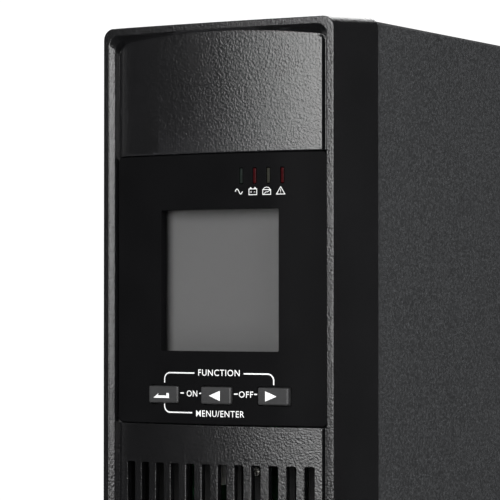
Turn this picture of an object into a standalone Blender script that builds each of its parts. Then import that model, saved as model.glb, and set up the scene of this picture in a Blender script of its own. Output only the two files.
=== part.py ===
"""Rack/tower uninterruptible power supply, two rack units thick, standing upright on tower stands.

Metres, +Z up. The front faces -Y and the origin is on the floor under the middle of the object.
"depth" is the distance behind the foremost line of the front bezel, and "drop" is the distance
below the bezel's highest edge.
"""

import math

import bmesh
import bpy
from mathutils import Matrix, Vector

# Overall sizes
BODY_WIDTH = 0.088  # two rack units, less the gap to the next unit
BODY_HEIGHT = 0.438  # between the rack's rails, upright in a tower
TOTAL_DEPTH = 0.410  # middle key to the rearmost plug
BODY_BOTTOM = 0.005  # floor to the bezel's lower edge

# Allowances
GAP = 0.0003  # between two pieces that touch
SLIDE_GAP = 0.0006  # between a piece that slides and its guide
CUT = 0.004  # how far a cutter runs past what it cuts

# Sheet metal
SHEET = 0.0012
BEND_RADIUS = 0.0016
CHASSIS_STEP = 0.001  # the bezel stands this much proud of the chassis
BASE_FLANGE = 0.014
REAR_PROUD = 0.010  # rear panel to the rearmost plug

# Front bezel
BEZEL_DEPTH = 0.028
BEZEL_TAPER = 0.0017  # the bezel's front outline is this much smaller on every side
BEZEL_CORNER = 0.0036
BEZEL_WALL = 0.002
RIM_CROWN = 0.600  # radius of the crowned front, about an upright axis
RIM_WIDTH = 0.0023
FASCIA_CROWN = 0.185
FASCIA_SINK = 0.0005
FASCIA_WALL = 0.0025
SIDE_DRAFT = 0.18  # the pocket's side walls run inwards this much for each unit of depth
END_DRAFT = 0.87  # and its end walls this much
POCKET_CORNER = 0.0034
CROWN_STEPS = 12
TAB_SIZE = (0.010, 0.008, 0.0022)
TAB_SPREAD = 0.030

# Grille
SLOT_COLUMNS = 12
SLOT_ROWS = 4
SLOT_PITCH = 0.00595
SLOT_WIDTH = 0.0031
SLOT_LENGTH = 0.062
SLOT_BRIDGE = 0.006
GRILLE_DROP = 0.1408

# Display module
PANEL_DROP = 0.0431
PANEL_WIDTH = 0.0770
PANEL_HEIGHT = 0.0851
PANEL_CORNER = 0.002
PANEL_WALL = 0.0025
DISPLAY_SHIFT = 0.0012  # the screen and keys sit this far to the right of the middle
WINDOW_DROP = 0.0606
WINDOW_WIDTH = 0.0430
WINDOW_HEIGHT = 0.0446
PANE_MARGIN = 0.001
PANE_THICKNESS = 0.0012
LCD_MARGIN = 0.003
LCD_THICKNESS = 0.0045
BOARD_DEPTH = 0.0165
BOARD_THICKNESS = 0.0016
BOARD_MARGIN = 0.002
POST_RADIUS = 0.0022
LAMP_NAMES = ("mains", "battery", "bypass", "fault")
LAMP_FIRST_X = 0.0098
LAMP_PITCH = 0.0047
LAMP_DROP = 0.0480
LAMP_WIDTH = 0.0010
LAMP_HEIGHT = 0.0047
LAMP_LENGTH = 0.008

# Keys
KEY_NAMES = ("enter", "left", "right")
KEY_PITCH = 0.0200
KEY_DROP = 0.1190
KEY_WIDTH = 0.0110
KEY_HEIGHT = 0.0054
KEY_PROUD = 0.0009
KEY_CHAMFER = 0.0004
KEY_FLANGE = 0.0013
KEY_FLANGE_WALL = 0.0010
KEY_TRAVEL = 0.0008
STEM_SIZE = 0.003
SWITCH_SIZE = 0.006
SWITCH_HEIGHT = 0.0040

# Battery cassette
BATTERY_LENGTH = 0.151
BATTERY_WIDTH = 0.065
BATTERY_HEIGHT = 0.094
BATTERY_GAP = 0.001
TERMINAL_SIZE = (0.0065, 0.0008, 0.006)
WIRING_SPACE = 0.009
TRAY_LIFT = 0.003
TRAY_LIP = 0.045
FLANGE_MARGIN = 0.004
FRONT_WALL_DEPTH = 0.030
OPENING_GAP = 0.001
BAIL_WIRE = 0.0016
BAIL_HALF_SPAN = 0.024
BAIL_REACH = 0.015
BAIL_BEND = 0.004
BAIL_OFFSET = 0.0036  # hinge axis to the flange
LUG_THICKNESS = 0.002
LUG_HEIGHT = 0.008
PLUG_SIZE = (0.016, 0.012, 0.036)
CONTACT_RADIUS = 0.0022
CONTACT_LENGTH = 0.008
CONTACT_SPREAD = 0.009

# Power electronics
STANDOFF = 0.008
STANDOFF_RADIUS = 0.003
MAIN_BOARD_LENGTH = 0.320
MAIN_BOARD_FRONT = 0.042
HEATSINK_LENGTH = 0.120
HEATSINK_WIDTH = 0.030
HEATSINK_HEIGHT = 0.060
HEATSINK_BASE = 0.006
HEATSINK_FINS = 6
FIN_THICKNESS = 0.0018
CAPACITOR_RADIUS = 0.0125
CAPACITOR_HEIGHT = 0.045
CHOKE_RADIUS = 0.017
CHOKE_WIRE = 0.008
TRANSFORMER_SIZE = (0.038, 0.044, 0.042)
RELAY_SIZE = (0.025, 0.029, 0.013)
CONTROL_BOARD_SIZE = (0.052, 0.120, 0.0016)

# Fan
FAN_CLEARANCE = 0.0015
FAN_THICKNESS = 0.025
FAN_WALL = 0.002
FAN_HUB = 0.018
FAN_BLADES = 7
BLADE_THICKNESS = 0.0014
BLADE_CHORD = 0.017
BLADE_PITCH = math.radians(38)
FAN_STRUT = 0.004
FAN_MOTOR_PLATE = 0.003
TIP_CLEARANCE = 0.0012
GUARD_WIRE = 0.0009
GUARD_RINGS = (0.012, 0.024, 0.036)

# Rear sockets
PLATE_PROUD = 0.0022
OUTLET_SIZE = (0.0245, 0.0165)
OUTLET_CHAMFER = 0.0045
OUTLET_GROOVE = 0.0022
OUTLET_PITCH = (0.0310, 0.0250)
OUTLET_DEPTH = 0.0160
OUTLET_SLOT = (0.0024, 0.0046)
OUTLET_MARGIN = 0.0035
PIN_PITCH = 0.007
INLET_FLANGE = (0.050, 0.0275)
PIN_SIZE = (0.002, 0.004)
PORT_WALL = 0.0010
USB_SIZE = (0.0120, 0.0108)
USB_DEPTH = 0.009
SERIAL_FLANGE = (0.0310, 0.0125)
SERIAL_SHELL = (0.0172, 0.0088)
SERIAL_PROUD = 0.006
NETWORK_SIZE = (0.0330, 0.0150)
NETWORK_CAVITY = (0.0118, 0.0086)
NETWORK_DEPTH = 0.013
PORT_BODY = 0.014
EPO_SIZE = (0.0125, 0.0110)
EPO_TRAVEL_FIT = 0.004
BREAKER_BARREL = 0.0062
BREAKER_NUT = 0.0090
BREAKER_BODY = (0.016, 0.026, 0.030)
BREAKER_KNOB = 0.0042
SLOT_COVER_SIZE = (0.074, 0.040)
SLOT_COVER_GRIP = 0.005
REAR_ROW_HEIGHTS = {
    "inlet": 0.034,
    "outlets_lower": 0.056,
    "outlets_upper": 0.056,
    "network": 0.017,
    "serial": 0.017,
    "slot": 0.042,
    "fan": 0.082,
}

# Tower stands
STAND_LENGTH = 0.050
STAND_REACH = 0.042
STAND_CHEEK = 0.040
STAND_WALL = 0.003
STAND_TOE = 0.004
STAND_FROM_ENDS = 0.034
STAND_STEPS = 6

# Lines worked out from the sizes above
KEY_LEAD = KEY_PROUD - FASCIA_SINK  # how far the keys stand out in front of the bezel
FRONT_Y = -TOTAL_DEPTH / 2 + KEY_LEAD
REAR_END = TOTAL_DEPTH - KEY_LEAD
BODY_TOP = BODY_BOTTOM + BODY_HEIGHT
BODY_MIDDLE = (BODY_BOTTOM + BODY_TOP) / 2
BODY_HALF = BODY_WIDTH / 2
CHASSIS_HALF = BODY_HALF - CHASSIS_STEP
CHASSIS_LOW = BODY_BOTTOM + CHASSIS_STEP
CHASSIS_HIGH = BODY_TOP - CHASSIS_STEP
CHASSIS_FRONT = BEZEL_DEPTH + GAP
CHASSIS_BACK = REAR_END - REAR_PROUD
INNER_HALF = CHASSIS_HALF - SHEET - GAP
INNER_LOW = CHASSIS_LOW + 2 * (SHEET + GAP)
INNER_HIGH = CHASSIS_HIGH - 2 * (SHEET + GAP)
PANEL_MIDDLE = BODY_TOP - PANEL_DROP - PANEL_HEIGHT / 2
WINDOW_MIDDLE = BODY_TOP - WINDOW_DROP - WINDOW_HEIGHT / 2
KEY_Z = BODY_TOP - KEY_DROP
FLANGE_FRONT = FRONT_WALL_DEPTH - GAP - SHEET
TRAY_X = -INNER_HALF + TRAY_LIFT  # outer face of the tray's floor
TRAY_Z = INNER_LOW + SLIDE_GAP
TRAY_INNER_LENGTH = 2 * BATTERY_LENGTH + 3 * BATTERY_GAP
TRAY_ROW = BATTERY_HEIGHT + WIRING_SPACE
TRAY_HIGH = TRAY_Z + 2 * SHEET + 2 * TRAY_ROW + BATTERY_GAP
TRAY_BACK = FLANGE_FRONT + SHEET + TRAY_INNER_LENGTH + SHEET
BATTERY_X = TRAY_X + SHEET + BATTERY_GAP  # the batteries' left face
BATTERY_RIGHT = BATTERY_X + BATTERY_WIDTH
BAY_WALL_Z = TRAY_HIGH + SLIDE_GAP + OPENING_GAP
BOARD_X = -CHASSIS_HALF + SHEET + STANDOFF
BOARD_TOP_X = BOARD_X + BOARD_THICKNESS
DECK_LOW = BAY_WALL_Z + SHEET + 0.004
DECK_HIGH = INNER_HIGH - 0.004
FAN_SIZE = 2 * (INNER_HALF - FAN_CLEARANCE)
FAN_BORE = FAN_SIZE / 2 - FAN_WALL
REAR_FACE = CHASSIS_BACK - SHEET  # inner face of the rear panel
GUARD_DEPTH = CHASSIS_BACK + GAP + GUARD_WIRE

FINISHES = {
    "bezel_plastic": ((0.012, 0.012, 0.013), 0.45, 0.0),
    "panel_gloss": ((0.006, 0.006, 0.007), 0.12, 0.0),
    "chassis_paint": ((0.045, 0.046, 0.048), 0.55, 0.0),
    "lcd_grey": ((0.115, 0.115, 0.115), 0.35, 0.0),
    "clear_pane": ((0.80, 0.82, 0.84), 0.05, 0.0),
    "key_plastic": ((0.040, 0.040, 0.042), 0.40, 0.0),
    "circuit_board": ((0.020, 0.110, 0.045), 0.45, 0.0),
    "lamp_red": ((0.200, 0.015, 0.015), 0.25, 0.0),
    "lamp_smoke": ((0.120, 0.120, 0.100), 0.25, 0.0),
    "bare_steel": ((0.550, 0.560, 0.570), 0.35, 1.0),
    "aluminium": ((0.720, 0.730, 0.740), 0.40, 1.0),
    "battery_block": ((0.030, 0.031, 0.034), 0.55, 0.0),
    "socket_plastic": ((0.016, 0.016, 0.017), 0.40, 0.0),
    "capacitor_sleeve": ((0.015, 0.020, 0.055), 0.30, 0.0),
    "copper_winding": ((0.520, 0.200, 0.070), 0.30, 1.0),
    "ferrite": ((0.035, 0.035, 0.038), 0.60, 0.0),
    "relay_case": ((0.020, 0.100, 0.260), 0.35, 0.0),
    "connector_grey": ((0.320, 0.330, 0.340), 0.50, 0.0),
    "terminal_green": ((0.020, 0.270, 0.080), 0.45, 0.0),
    "fan_plastic": ((0.014, 0.014, 0.015), 0.45, 0.0),
    "stand_plastic": ((0.014, 0.014, 0.015), 0.50, 0.0),
    "ribbon_cable": ((0.380, 0.390, 0.400), 0.55, 0.0),
}

FACING_FRONT = (math.pi / 2, 0.0, 0.0)  # turns a flat outline's X and Y to X and Z, facing -Y


def y_at(depth):
    """World Y at a depth behind the bezel's foremost line."""
    return FRONT_Y + depth


def crown_depth(radius, sink, x):
    """Depth of a crowned surface at x."""
    return sink + radius - math.sqrt(radius * radius - x * x)


def fascia_depth(x):
    return crown_depth(FASCIA_CROWN, FASCIA_SINK, x)


# ---------------------------------------------------------------- modelling tools


def clear_scene():
    for item in list(bpy.data.objects):
        bpy.data.objects.remove(item, do_unlink=True)


def collection(name):
    made = bpy.data.collections.new(name)
    bpy.context.scene.collection.children.link(made)
    return made


def finish(name):
    """The shared material of that finish."""
    found = bpy.data.materials.get(name)
    if found:
        return found
    colour, roughness, metallic = FINISHES[name]
    made = bpy.data.materials.new(name)
    made.use_nodes = True
    shader = made.node_tree.nodes["Principled BSDF"]
    shader.inputs["Base Color"].default_value = (*colour, 1.0)
    shader.inputs["Roughness"].default_value = roughness
    shader.inputs["Metallic"].default_value = metallic
    made.diffuse_color = (*colour, 1.0)
    return made


def add(name, mesh, surface, place=(0, 0, 0), turn=(0, 0, 0)):
    """Puts a mesh in the scene as a sub-part, or as a cutter where surface is None."""
    made = bpy.data.objects.new(name, mesh)
    made.location = place
    made.rotation_euler = turn
    if surface is None:
        CUTTERS.objects.link(made)
        made.hide_render = True
        made.display_type = "WIRE"
    else:
        PARTS.objects.link(made)
        mesh.materials.append(finish(surface))
    return made


def mesh_of(work, name):
    mesh = bpy.data.meshes.new(name)
    bmesh.ops.recalc_face_normals(work, faces=work.faces)
    work.to_mesh(mesh)
    work.free()
    return mesh


def add_blocks(work, size, centres):
    """Adds a block of that size to a bmesh at each centre."""
    for centre in centres:
        place = Matrix.Translation(centre) @ Matrix.Diagonal((*size, 1.0))
        bmesh.ops.create_cube(work, size=1.0, matrix=place)


def blocks(name, size, centres, surface=None):
    """Equal blocks in one mesh, for a cutter or for a union."""
    work = bmesh.new()
    add_blocks(work, size, centres)
    return add(name, mesh_of(work, name), surface)


def block(name, low, high, surface=None):
    """A block between two corners, with its origin in its middle."""
    low, high = Vector(low), Vector(high)
    work = bmesh.new()
    add_blocks(work, high - low, [(0, 0, 0)])
    return add(name, mesh_of(work, name), surface, (low + high) / 2)


def round_bar(name, radius, length, place, axis="Z", surface=None, sides=20, tip_radius=None):
    """A cylinder or cone along an axis, with its middle at place."""
    work = bmesh.new()
    bmesh.ops.create_cone(
        work,
        cap_ends=True,
        segments=sides,
        radius1=radius,
        radius2=radius if tip_radius is None else tip_radius,
        depth=length,
    )
    turn = {"X": (0, math.pi / 2, 0), "Y": (-math.pi / 2, 0, 0), "Z": (0, 0, 0)}[axis]
    made = add(name, mesh_of(work, name), surface, place, turn)
    made.data.shade_smooth()
    made.data.set_sharp_from_angle(angle=math.radians(40))
    return made


def outline_mesh(name, loops, thickness):
    """A flat outline, with holes where a loop lies in another, as a solid plate about its own plane."""
    curve = bpy.data.curves.new(name, "CURVE")
    curve.dimensions = "2D"
    curve.fill_mode = "BOTH"
    curve.extrude = thickness / 2
    for loop in loops:
        spline = curve.splines.new("POLY")
        spline.points.add(len(loop) - 1)
        for point, (u, v) in zip(spline.points, loop):
            point.co = (u, v, 0, 1)
        spline.use_cyclic_u = True
    return mesh_of_curve(name, curve)


def mesh_of_curve(name, curve):
    """The closed mesh of a curve, with its caps welded on."""
    holder = bpy.data.objects.new(name + "_curve", curve)
    bpy.context.scene.collection.objects.link(holder)
    graph = bpy.context.evaluated_depsgraph_get()
    raw = bpy.data.meshes.new_from_object(holder.evaluated_get(graph))
    bpy.data.objects.remove(holder, do_unlink=True)
    work = bmesh.new()
    work.from_mesh(raw)
    bpy.data.meshes.remove(raw)
    bmesh.ops.remove_doubles(work, verts=work.verts, dist=1e-6)
    mesh = mesh_of(work, name)
    mesh.shade_flat()
    return mesh


def plate(name, loops, thickness, place, turn=FACING_FRONT, surface=None):
    return add(name, outline_mesh(name, loops, thickness), surface, place, turn)


def tube(name, points, radius, surface, place=(0, 0, 0)):
    """A wire or rail through points, with filled ends."""
    curve = bpy.data.curves.new(name, "CURVE")
    curve.dimensions = "3D"
    curve.bevel_depth = radius
    curve.bevel_resolution = 2
    curve.use_fill_caps = True
    spline = curve.splines.new("POLY")
    spline.points.add(len(points) - 1)
    for point, where in zip(spline.points, points):
        point.co = (*where, 1)
    made = add(name, mesh_of_curve(name, curve), surface, place)
    made.data.shade_smooth()
    return made


def rectangle(width, height, centre=(0, 0)):
    u, v = centre
    return [
        (u - width / 2, v - height / 2),
        (u + width / 2, v - height / 2),
        (u + width / 2, v + height / 2),
        (u - width / 2, v + height / 2),
    ]


def rounded_rectangle(width, height, radius, centre=(0, 0), steps=3):
    """The four corner arcs of a rounded rectangle, anticlockwise."""
    points = []
    for corner in range(4):
        su, sv = [(1, 1), (-1, 1), (-1, -1), (1, -1)][corner]
        for step in range(steps + 1):
            angle = math.pi / 2 * (corner + step / steps)
            points.append(
                (
                    centre[0] + su * (width / 2 - radius) + radius * math.cos(angle),
                    centre[1] + sv * (height / 2 - radius) + radius * math.sin(angle),
                )
            )
    return points


def socket_outline(width, height, chamfer, centre=(0, 0)):
    """The six-sided outline of an appliance connector, with its two upper corners cut off."""
    u, v = centre
    return [
        (u - width / 2, v - height / 2),
        (u + width / 2, v - height / 2),
        (u + width / 2, v + height / 2 - chamfer),
        (u + width / 2 - chamfer, v + height / 2),
        (u - width / 2 + chamfer, v + height / 2),
        (u - width / 2, v + height / 2 - chamfer),
    ]


def tapered_block(name, width, height, corner, insets, front, back):
    """A rounded block between two depths, whose front outline is smaller by an inset on each side."""
    mesh = outline_mesh(name, [rounded_rectangle(width, height, corner)], back - front)
    for vertex in mesh.vertices:
        if vertex.co.z > 0:
            vertex.co.x -= insets[0] * math.copysign(1, vertex.co.x)
            vertex.co.y -= insets[1] * math.copysign(1, vertex.co.y)
    place = (0, y_at((front + back) / 2), BODY_MIDDLE)
    return add(name, mesh, None, place, FACING_FRONT)


def crown_block(name, radius, sink, back):
    """Everything behind a crowned surface, as deep as back and taller than the body."""
    half = BODY_HALF + CUT
    xs = [half * (2 * step / CROWN_STEPS - 1) for step in range(CROWN_STEPS + 1)]
    outline = [(x, y_at(crown_depth(radius, sink, x))) for x in xs]
    outline += [(half, y_at(back)), (-half, y_at(back))]
    mesh = outline_mesh(name, [outline], BODY_HEIGHT + 2 * CUT)
    return add(name, mesh, None, (0, 0, BODY_MIDDLE))


def boolean(target, other, operation):
    step = target.modifiers.new(operation.lower() + "_" + other.name, "BOOLEAN")
    step.operation = operation
    step.object = other
    return target


def cut(target, *others):
    for other in others:
        boolean(target, other, "DIFFERENCE")
    return target


def join(target, *others):
    for other in others:
        boolean(target, other, "UNION")
    return target


def keep_inside(target, other):
    return boolean(target, other, "INTERSECT")


def into_part(cutter, name, surface):
    """Turns a shape that was made as a cutter into a sub-part."""
    CUTTERS.objects.unlink(cutter)
    PARTS.objects.link(cutter)
    cutter.name = name
    cutter.hide_render = False
    cutter.display_type = "TEXTURED"
    cutter.data.materials.append(finish(surface))
    return cutter


def bevel(target, width, segments=1):
    step = target.modifiers.new("edges", "BEVEL")
    step.width = width
    step.segments = segments
    step.limit_method = "ANGLE"
    step.angle_limit = math.radians(40)
    return target


def folded_sheet(name, profile, front, back, surface):
    """Sheet metal folded along Y: an open strip through the profile's XZ points, made solid inwards.

    The profile runs anticlockwise as seen from the front, so that its outer side faces outwards.
    """
    work = bmesh.new()
    row = [work.verts.new((x, y_at(front), z)) for x, z in profile]
    edges = [work.edges.new(pair) for pair in zip(row, row[1:])]
    swept = bmesh.ops.extrude_edge_only(work, edges=edges)["geom"]
    moved = [item for item in swept if isinstance(item, bmesh.types.BMVert)]
    bmesh.ops.translate(work, verts=moved, vec=(0, back - front, 0))
    middle = Vector((sum(x for x, _ in profile), 0, sum(z for _, z in profile))) / len(profile)
    for face in work.faces:
        outward = face.calc_center_median() - middle
        outward.y = 0
        face.normal_update()
        if face.normal.dot(outward) < 0:
            face.normal_flip()
    mesh = bpy.data.meshes.new(name)
    work.to_mesh(mesh)
    work.free()
    made = add(name, mesh, surface)
    bevel(made, BEND_RADIUS, 2)
    thicken = made.modifiers.new("sheet", "SOLIDIFY")
    thicken.thickness = SHEET
    thicken.offset = -1
    thicken.use_even_offset = True
    return made


def axis_empty(name, place):
    """An empty on a joint's axis, which carries the pieces that move with it."""
    made = bpy.data.objects.new(name, None)
    made.location = place
    made.empty_display_size = 0.02
    PARTS.objects.link(made)
    return made


def carry(empty, *pieces):
    for piece in pieces:
        piece.parent = empty
        piece.matrix_parent_inverse = Matrix.Translation(empty.location).inverted()


# ---------------------------------------------------------------- front bezel


def slot_centres():
    first = BODY_TOP - GRILLE_DROP - SLOT_LENGTH / 2
    for row in range(SLOT_ROWS):
        for column in range(SLOT_COLUMNS):
            x = (column - (SLOT_COLUMNS - 1) / 2) * SLOT_PITCH
            yield x, first - row * (SLOT_LENGTH + SLOT_BRIDGE)


def tab_places():
    """Middle of each snap tab that holds the bezel, as x and z."""
    for z in (BAY_WALL_Z + 0.018, INNER_HIGH - 0.012):
        for side in (-1, 1):
            yield side * TAB_SPREAD, z


def make_bezel():
    shell = tapered_block(
        "bezel_outer",
        BODY_WIDTH,
        BODY_HEIGHT,
        BEZEL_CORNER,
        (BEZEL_TAPER, BEZEL_TAPER),
        0,
        BEZEL_DEPTH,
    )
    keep_inside(shell, crown_block("rim_crown", RIM_CROWN, 0, BEZEL_DEPTH + CUT))

    front, back = -0.004, 0.010
    shrink = 2 * (BEZEL_TAPER + RIM_WIDTH)
    behind = back - FASCIA_SINK
    pocket = tapered_block(
        "pocket",
        BODY_WIDTH - shrink - 2 * SIDE_DRAFT * behind,
        BODY_HEIGHT - shrink - 2 * END_DRAFT * behind,
        POCKET_CORNER,
        (-SIDE_DRAFT * (back - front), -END_DRAFT * (back - front)),
        front,
        back,
    )
    cut(pocket, crown_block("fascia_front", FASCIA_CROWN, FASCIA_SINK, BEZEL_DEPTH))

    cavity = tapered_block(
        "bezel_cavity",
        BODY_WIDTH - 2 * BEZEL_WALL,
        BODY_HEIGHT - 2 * BEZEL_WALL,
        BEZEL_CORNER - BEZEL_WALL / 2,
        (BEZEL_TAPER, BEZEL_TAPER),
        0,
        BEZEL_DEPTH + CUT,
    )
    fascia_back = crown_block(
        "fascia_back", FASCIA_CROWN - FASCIA_WALL, FASCIA_SINK + FASCIA_WALL, BEZEL_DEPTH + 2 * CUT
    )
    keep_inside(cavity, fascia_back)

    opening = plate(
        "display_opening",
        [rounded_rectangle(PANEL_WIDTH + 2 * GAP, PANEL_HEIGHT + 2 * GAP, PANEL_CORNER)],
        BEZEL_DEPTH,
        (0, y_at(0), PANEL_MIDDLE),
    )
    slots = blocks(
        "slots",
        (SLOT_WIDTH, BEZEL_DEPTH, SLOT_LENGTH),
        [(x, y_at(0), z) for x, z in slot_centres()],
    )
    cut(shell, pocket, cavity, opening, slots)

    width, length, thickness = TAB_SIZE
    root = BEZEL_DEPTH - 0.012
    reach = FRONT_WALL_DEPTH + SHEET + length / 2
    for number, (x, z) in enumerate(tab_places()):
        side = math.copysign(1, x)
        wall = side * (BODY_HALF - BEZEL_WALL)
        tongue = x + side * width / 2
        arm = block(
            f"tab_arm_{number}",
            (min(x - width / 2, x + width / 2), y_at(root), z - thickness / 2),
            (max(x - width / 2, x + width / 2), y_at(reach), z + thickness / 2),
        )
        web = block(
            f"tab_web_{number}",
            (min(tongue - side * width / 2, wall + side * BEZEL_WALL / 4), y_at(root), z - thickness / 2),
            (
                max(tongue - side * width / 2, wall + side * BEZEL_WALL / 4),
                y_at(BEZEL_DEPTH - 0.002),
                z + thickness / 2,
            ),
        )
        join(shell, arm, web)
    return into_part(shell, "front_bezel", "bezel_plastic")


# ---------------------------------------------------------------- display module


def key_x(number):
    return DISPLAY_SHIFT + (number - 1) * KEY_PITCH


def lamp_x(number):
    return LAMP_FIRST_X + number * LAMP_PITCH


def lamp_z():
    return BODY_TOP - LAMP_DROP - LAMP_HEIGHT / 2


def post_places():
    """The four posts that hold the display board, as x and z."""
    inset = BOARD_MARGIN + POST_RADIUS + 0.0015
    for x in (-1, 1):
        for z in (-1, 1):
            yield x * (PANEL_WIDTH / 2 - inset), PANEL_MIDDLE + z * (PANEL_HEIGHT / 2 - inset)


def make_display_panel():
    panel = plate(
        "panel_blank",
        [rounded_rectangle(PANEL_WIDTH, PANEL_HEIGHT, PANEL_CORNER)],
        BEZEL_DEPTH,
        (0, y_at(0), PANEL_MIDDLE),
    )
    keep_inside(panel, crown_block("panel_front", FASCIA_CROWN, FASCIA_SINK, BEZEL_DEPTH))
    behind = crown_block(
        "panel_back", FASCIA_CROWN - PANEL_WALL, FASCIA_SINK + PANEL_WALL, 2 * BEZEL_DEPTH
    )
    window = block(
        "window_cut",
        (DISPLAY_SHIFT - WINDOW_WIDTH / 2, y_at(-CUT), WINDOW_MIDDLE - WINDOW_HEIGHT / 2),
        (DISPLAY_SHIFT + WINDOW_WIDTH / 2, y_at(BEZEL_DEPTH), WINDOW_MIDDLE + WINDOW_HEIGHT / 2),
    )
    keys = blocks(
        "key_cuts",
        (KEY_WIDTH + 2 * GAP, BEZEL_DEPTH, KEY_HEIGHT + 2 * GAP),
        [(key_x(n), y_at(0), KEY_Z) for n in range(len(KEY_NAMES))],
    )
    lamps = blocks(
        "lamp_cuts",
        (LAMP_WIDTH + 2 * GAP, BEZEL_DEPTH, LAMP_HEIGHT + 2 * GAP),
        [(lamp_x(n), y_at(0), lamp_z()) for n in range(len(LAMP_NAMES))],
    )
    cut(panel, behind, window, keys, lamps)
    for number, (x, z) in enumerate(post_places()):
        start = fascia_depth(x) + PANEL_WALL / 2
        end = BOARD_DEPTH - GAP
        post = round_bar(
            f"post_{number}", POST_RADIUS, end - start, (x, y_at((start + end) / 2), z), "Y", sides=10
        )
        join(panel, post)
    return into_part(panel, "display_panel", "panel_gloss")


def make_screen():
    edge = WINDOW_WIDTH / 2 + PANE_MARGIN + abs(DISPLAY_SHIFT)
    pane_front = fascia_depth(edge) + PANEL_WALL + GAP
    pane = block(
        "lcd_window",
        (
            DISPLAY_SHIFT - WINDOW_WIDTH / 2 - PANE_MARGIN,
            y_at(pane_front),
            WINDOW_MIDDLE - WINDOW_HEIGHT / 2 - PANE_MARGIN,
        ),
        (
            DISPLAY_SHIFT + WINDOW_WIDTH / 2 + PANE_MARGIN,
            y_at(pane_front + PANE_THICKNESS),
            WINDOW_MIDDLE + WINDOW_HEIGHT / 2 + PANE_MARGIN,
        ),
        "clear_pane",
    )
    lcd_front = pane_front + PANE_THICKNESS + GAP
    lcd = block(
        "lcd_module",
        (
            DISPLAY_SHIFT - WINDOW_WIDTH / 2 - LCD_MARGIN,
            y_at(lcd_front),
            WINDOW_MIDDLE - WINDOW_HEIGHT / 2 - LCD_MARGIN,
        ),
        (
            DISPLAY_SHIFT + WINDOW_WIDTH / 2 + LCD_MARGIN,
            y_at(lcd_front + LCD_THICKNESS),
            WINDOW_MIDDLE + WINDOW_HEIGHT / 2 + LCD_MARGIN,
        ),
        "lcd_grey",
    )
    board = block(
        "display_board",
        (
            -PANEL_WIDTH / 2 + BOARD_MARGIN,
            y_at(BOARD_DEPTH),
            PANEL_MIDDLE - PANEL_HEIGHT / 2 + BOARD_MARGIN,
        ),
        (
            PANEL_WIDTH / 2 - BOARD_MARGIN,
            y_at(BOARD_DEPTH + BOARD_THICKNESS),
            PANEL_MIDDLE + PANEL_HEIGHT / 2 - BOARD_MARGIN,
        ),
        "circuit_board",
    )
    return [pane, lcd, board]


def make_lamps():
    """Four light pipes that end flush with the panel."""
    made = []
    for number, name in enumerate(LAMP_NAMES):
        x = lamp_x(number)
        front = fascia_depth(x + LAMP_WIDTH / 2)
        made.append(
            block(
                f"light_pipe_{name}",
                (x - LAMP_WIDTH / 2, y_at(front), lamp_z() - LAMP_HEIGHT / 2),
                (x + LAMP_WIDTH / 2, y_at(front + LAMP_LENGTH), lamp_z() + LAMP_HEIGHT / 2),
                "lamp_red" if name in ("battery", "fault") else "lamp_smoke",
            )
        )
    return made


def make_key(number, name):
    """A cap that comes through the panel, a flange that keeps it in, and a stem to its switch."""
    x = key_x(number)
    reach = abs(x) + KEY_WIDTH / 2 + KEY_FLANGE
    surface = fascia_depth(x)
    flange_front = fascia_depth(reach) + PANEL_WALL + GAP
    stem_end = BOARD_DEPTH - SWITCH_HEIGHT - GAP - KEY_TRAVEL
    front = surface - KEY_PROUD

    def layer(part, width, height, start, end):
        return block(
            f"key_{name}_{part}",
            (x - width / 2, y_at(start), KEY_Z - height / 2),
            (x + width / 2, y_at(end), KEY_Z + height / 2),
        )

    cap = layer("cap", KEY_WIDTH, KEY_HEIGHT, front, flange_front + KEY_FLANGE_WALL / 2)
    bevel(cap, KEY_CHAMFER)
    flange = layer(
        "flange",
        KEY_WIDTH + 2 * KEY_FLANGE,
        KEY_HEIGHT + 2 * KEY_FLANGE,
        flange_front,
        flange_front + KEY_FLANGE_WALL,
    )
    stem = layer("stem", STEM_SIZE, STEM_SIZE, flange_front + KEY_FLANGE_WALL / 2, stem_end)
    join(cap, flange, stem)
    return into_part(cap, f"key_{name}", "key_plastic")


def make_switch(number, name):
    x = key_x(number)
    return block(
        f"switch_{name}",
        (x - SWITCH_SIZE / 2, y_at(BOARD_DEPTH - SWITCH_HEIGHT), KEY_Z - SWITCH_SIZE / 2),
        (x + SWITCH_SIZE / 2, y_at(BOARD_DEPTH - GAP), KEY_Z + SWITCH_SIZE / 2),
        "socket_plastic",
    )


# ---------------------------------------------------------------- chassis


def make_chassis():
    left, right = -CHASSIS_HALF, CHASSIS_HALF
    cover = folded_sheet(
        "chassis_cover",
        [(left, CHASSIS_LOW), (right, CHASSIS_LOW), (right, CHASSIS_HIGH), (left, CHASSIS_HIGH)],
        CHASSIS_FRONT,
        CHASSIS_BACK,
        "chassis_paint",
    )
    low, high = CHASSIS_LOW + SHEET + GAP, CHASSIS_HIGH - SHEET - GAP
    base = folded_sheet(
        "chassis_base",
        [(left + BASE_FLANGE, high), (left, high), (left, low), (left + BASE_FLANGE, low)],
        CHASSIS_FRONT,
        CHASSIS_BACK,
        "chassis_paint",
    )
    return cover, base


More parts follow.
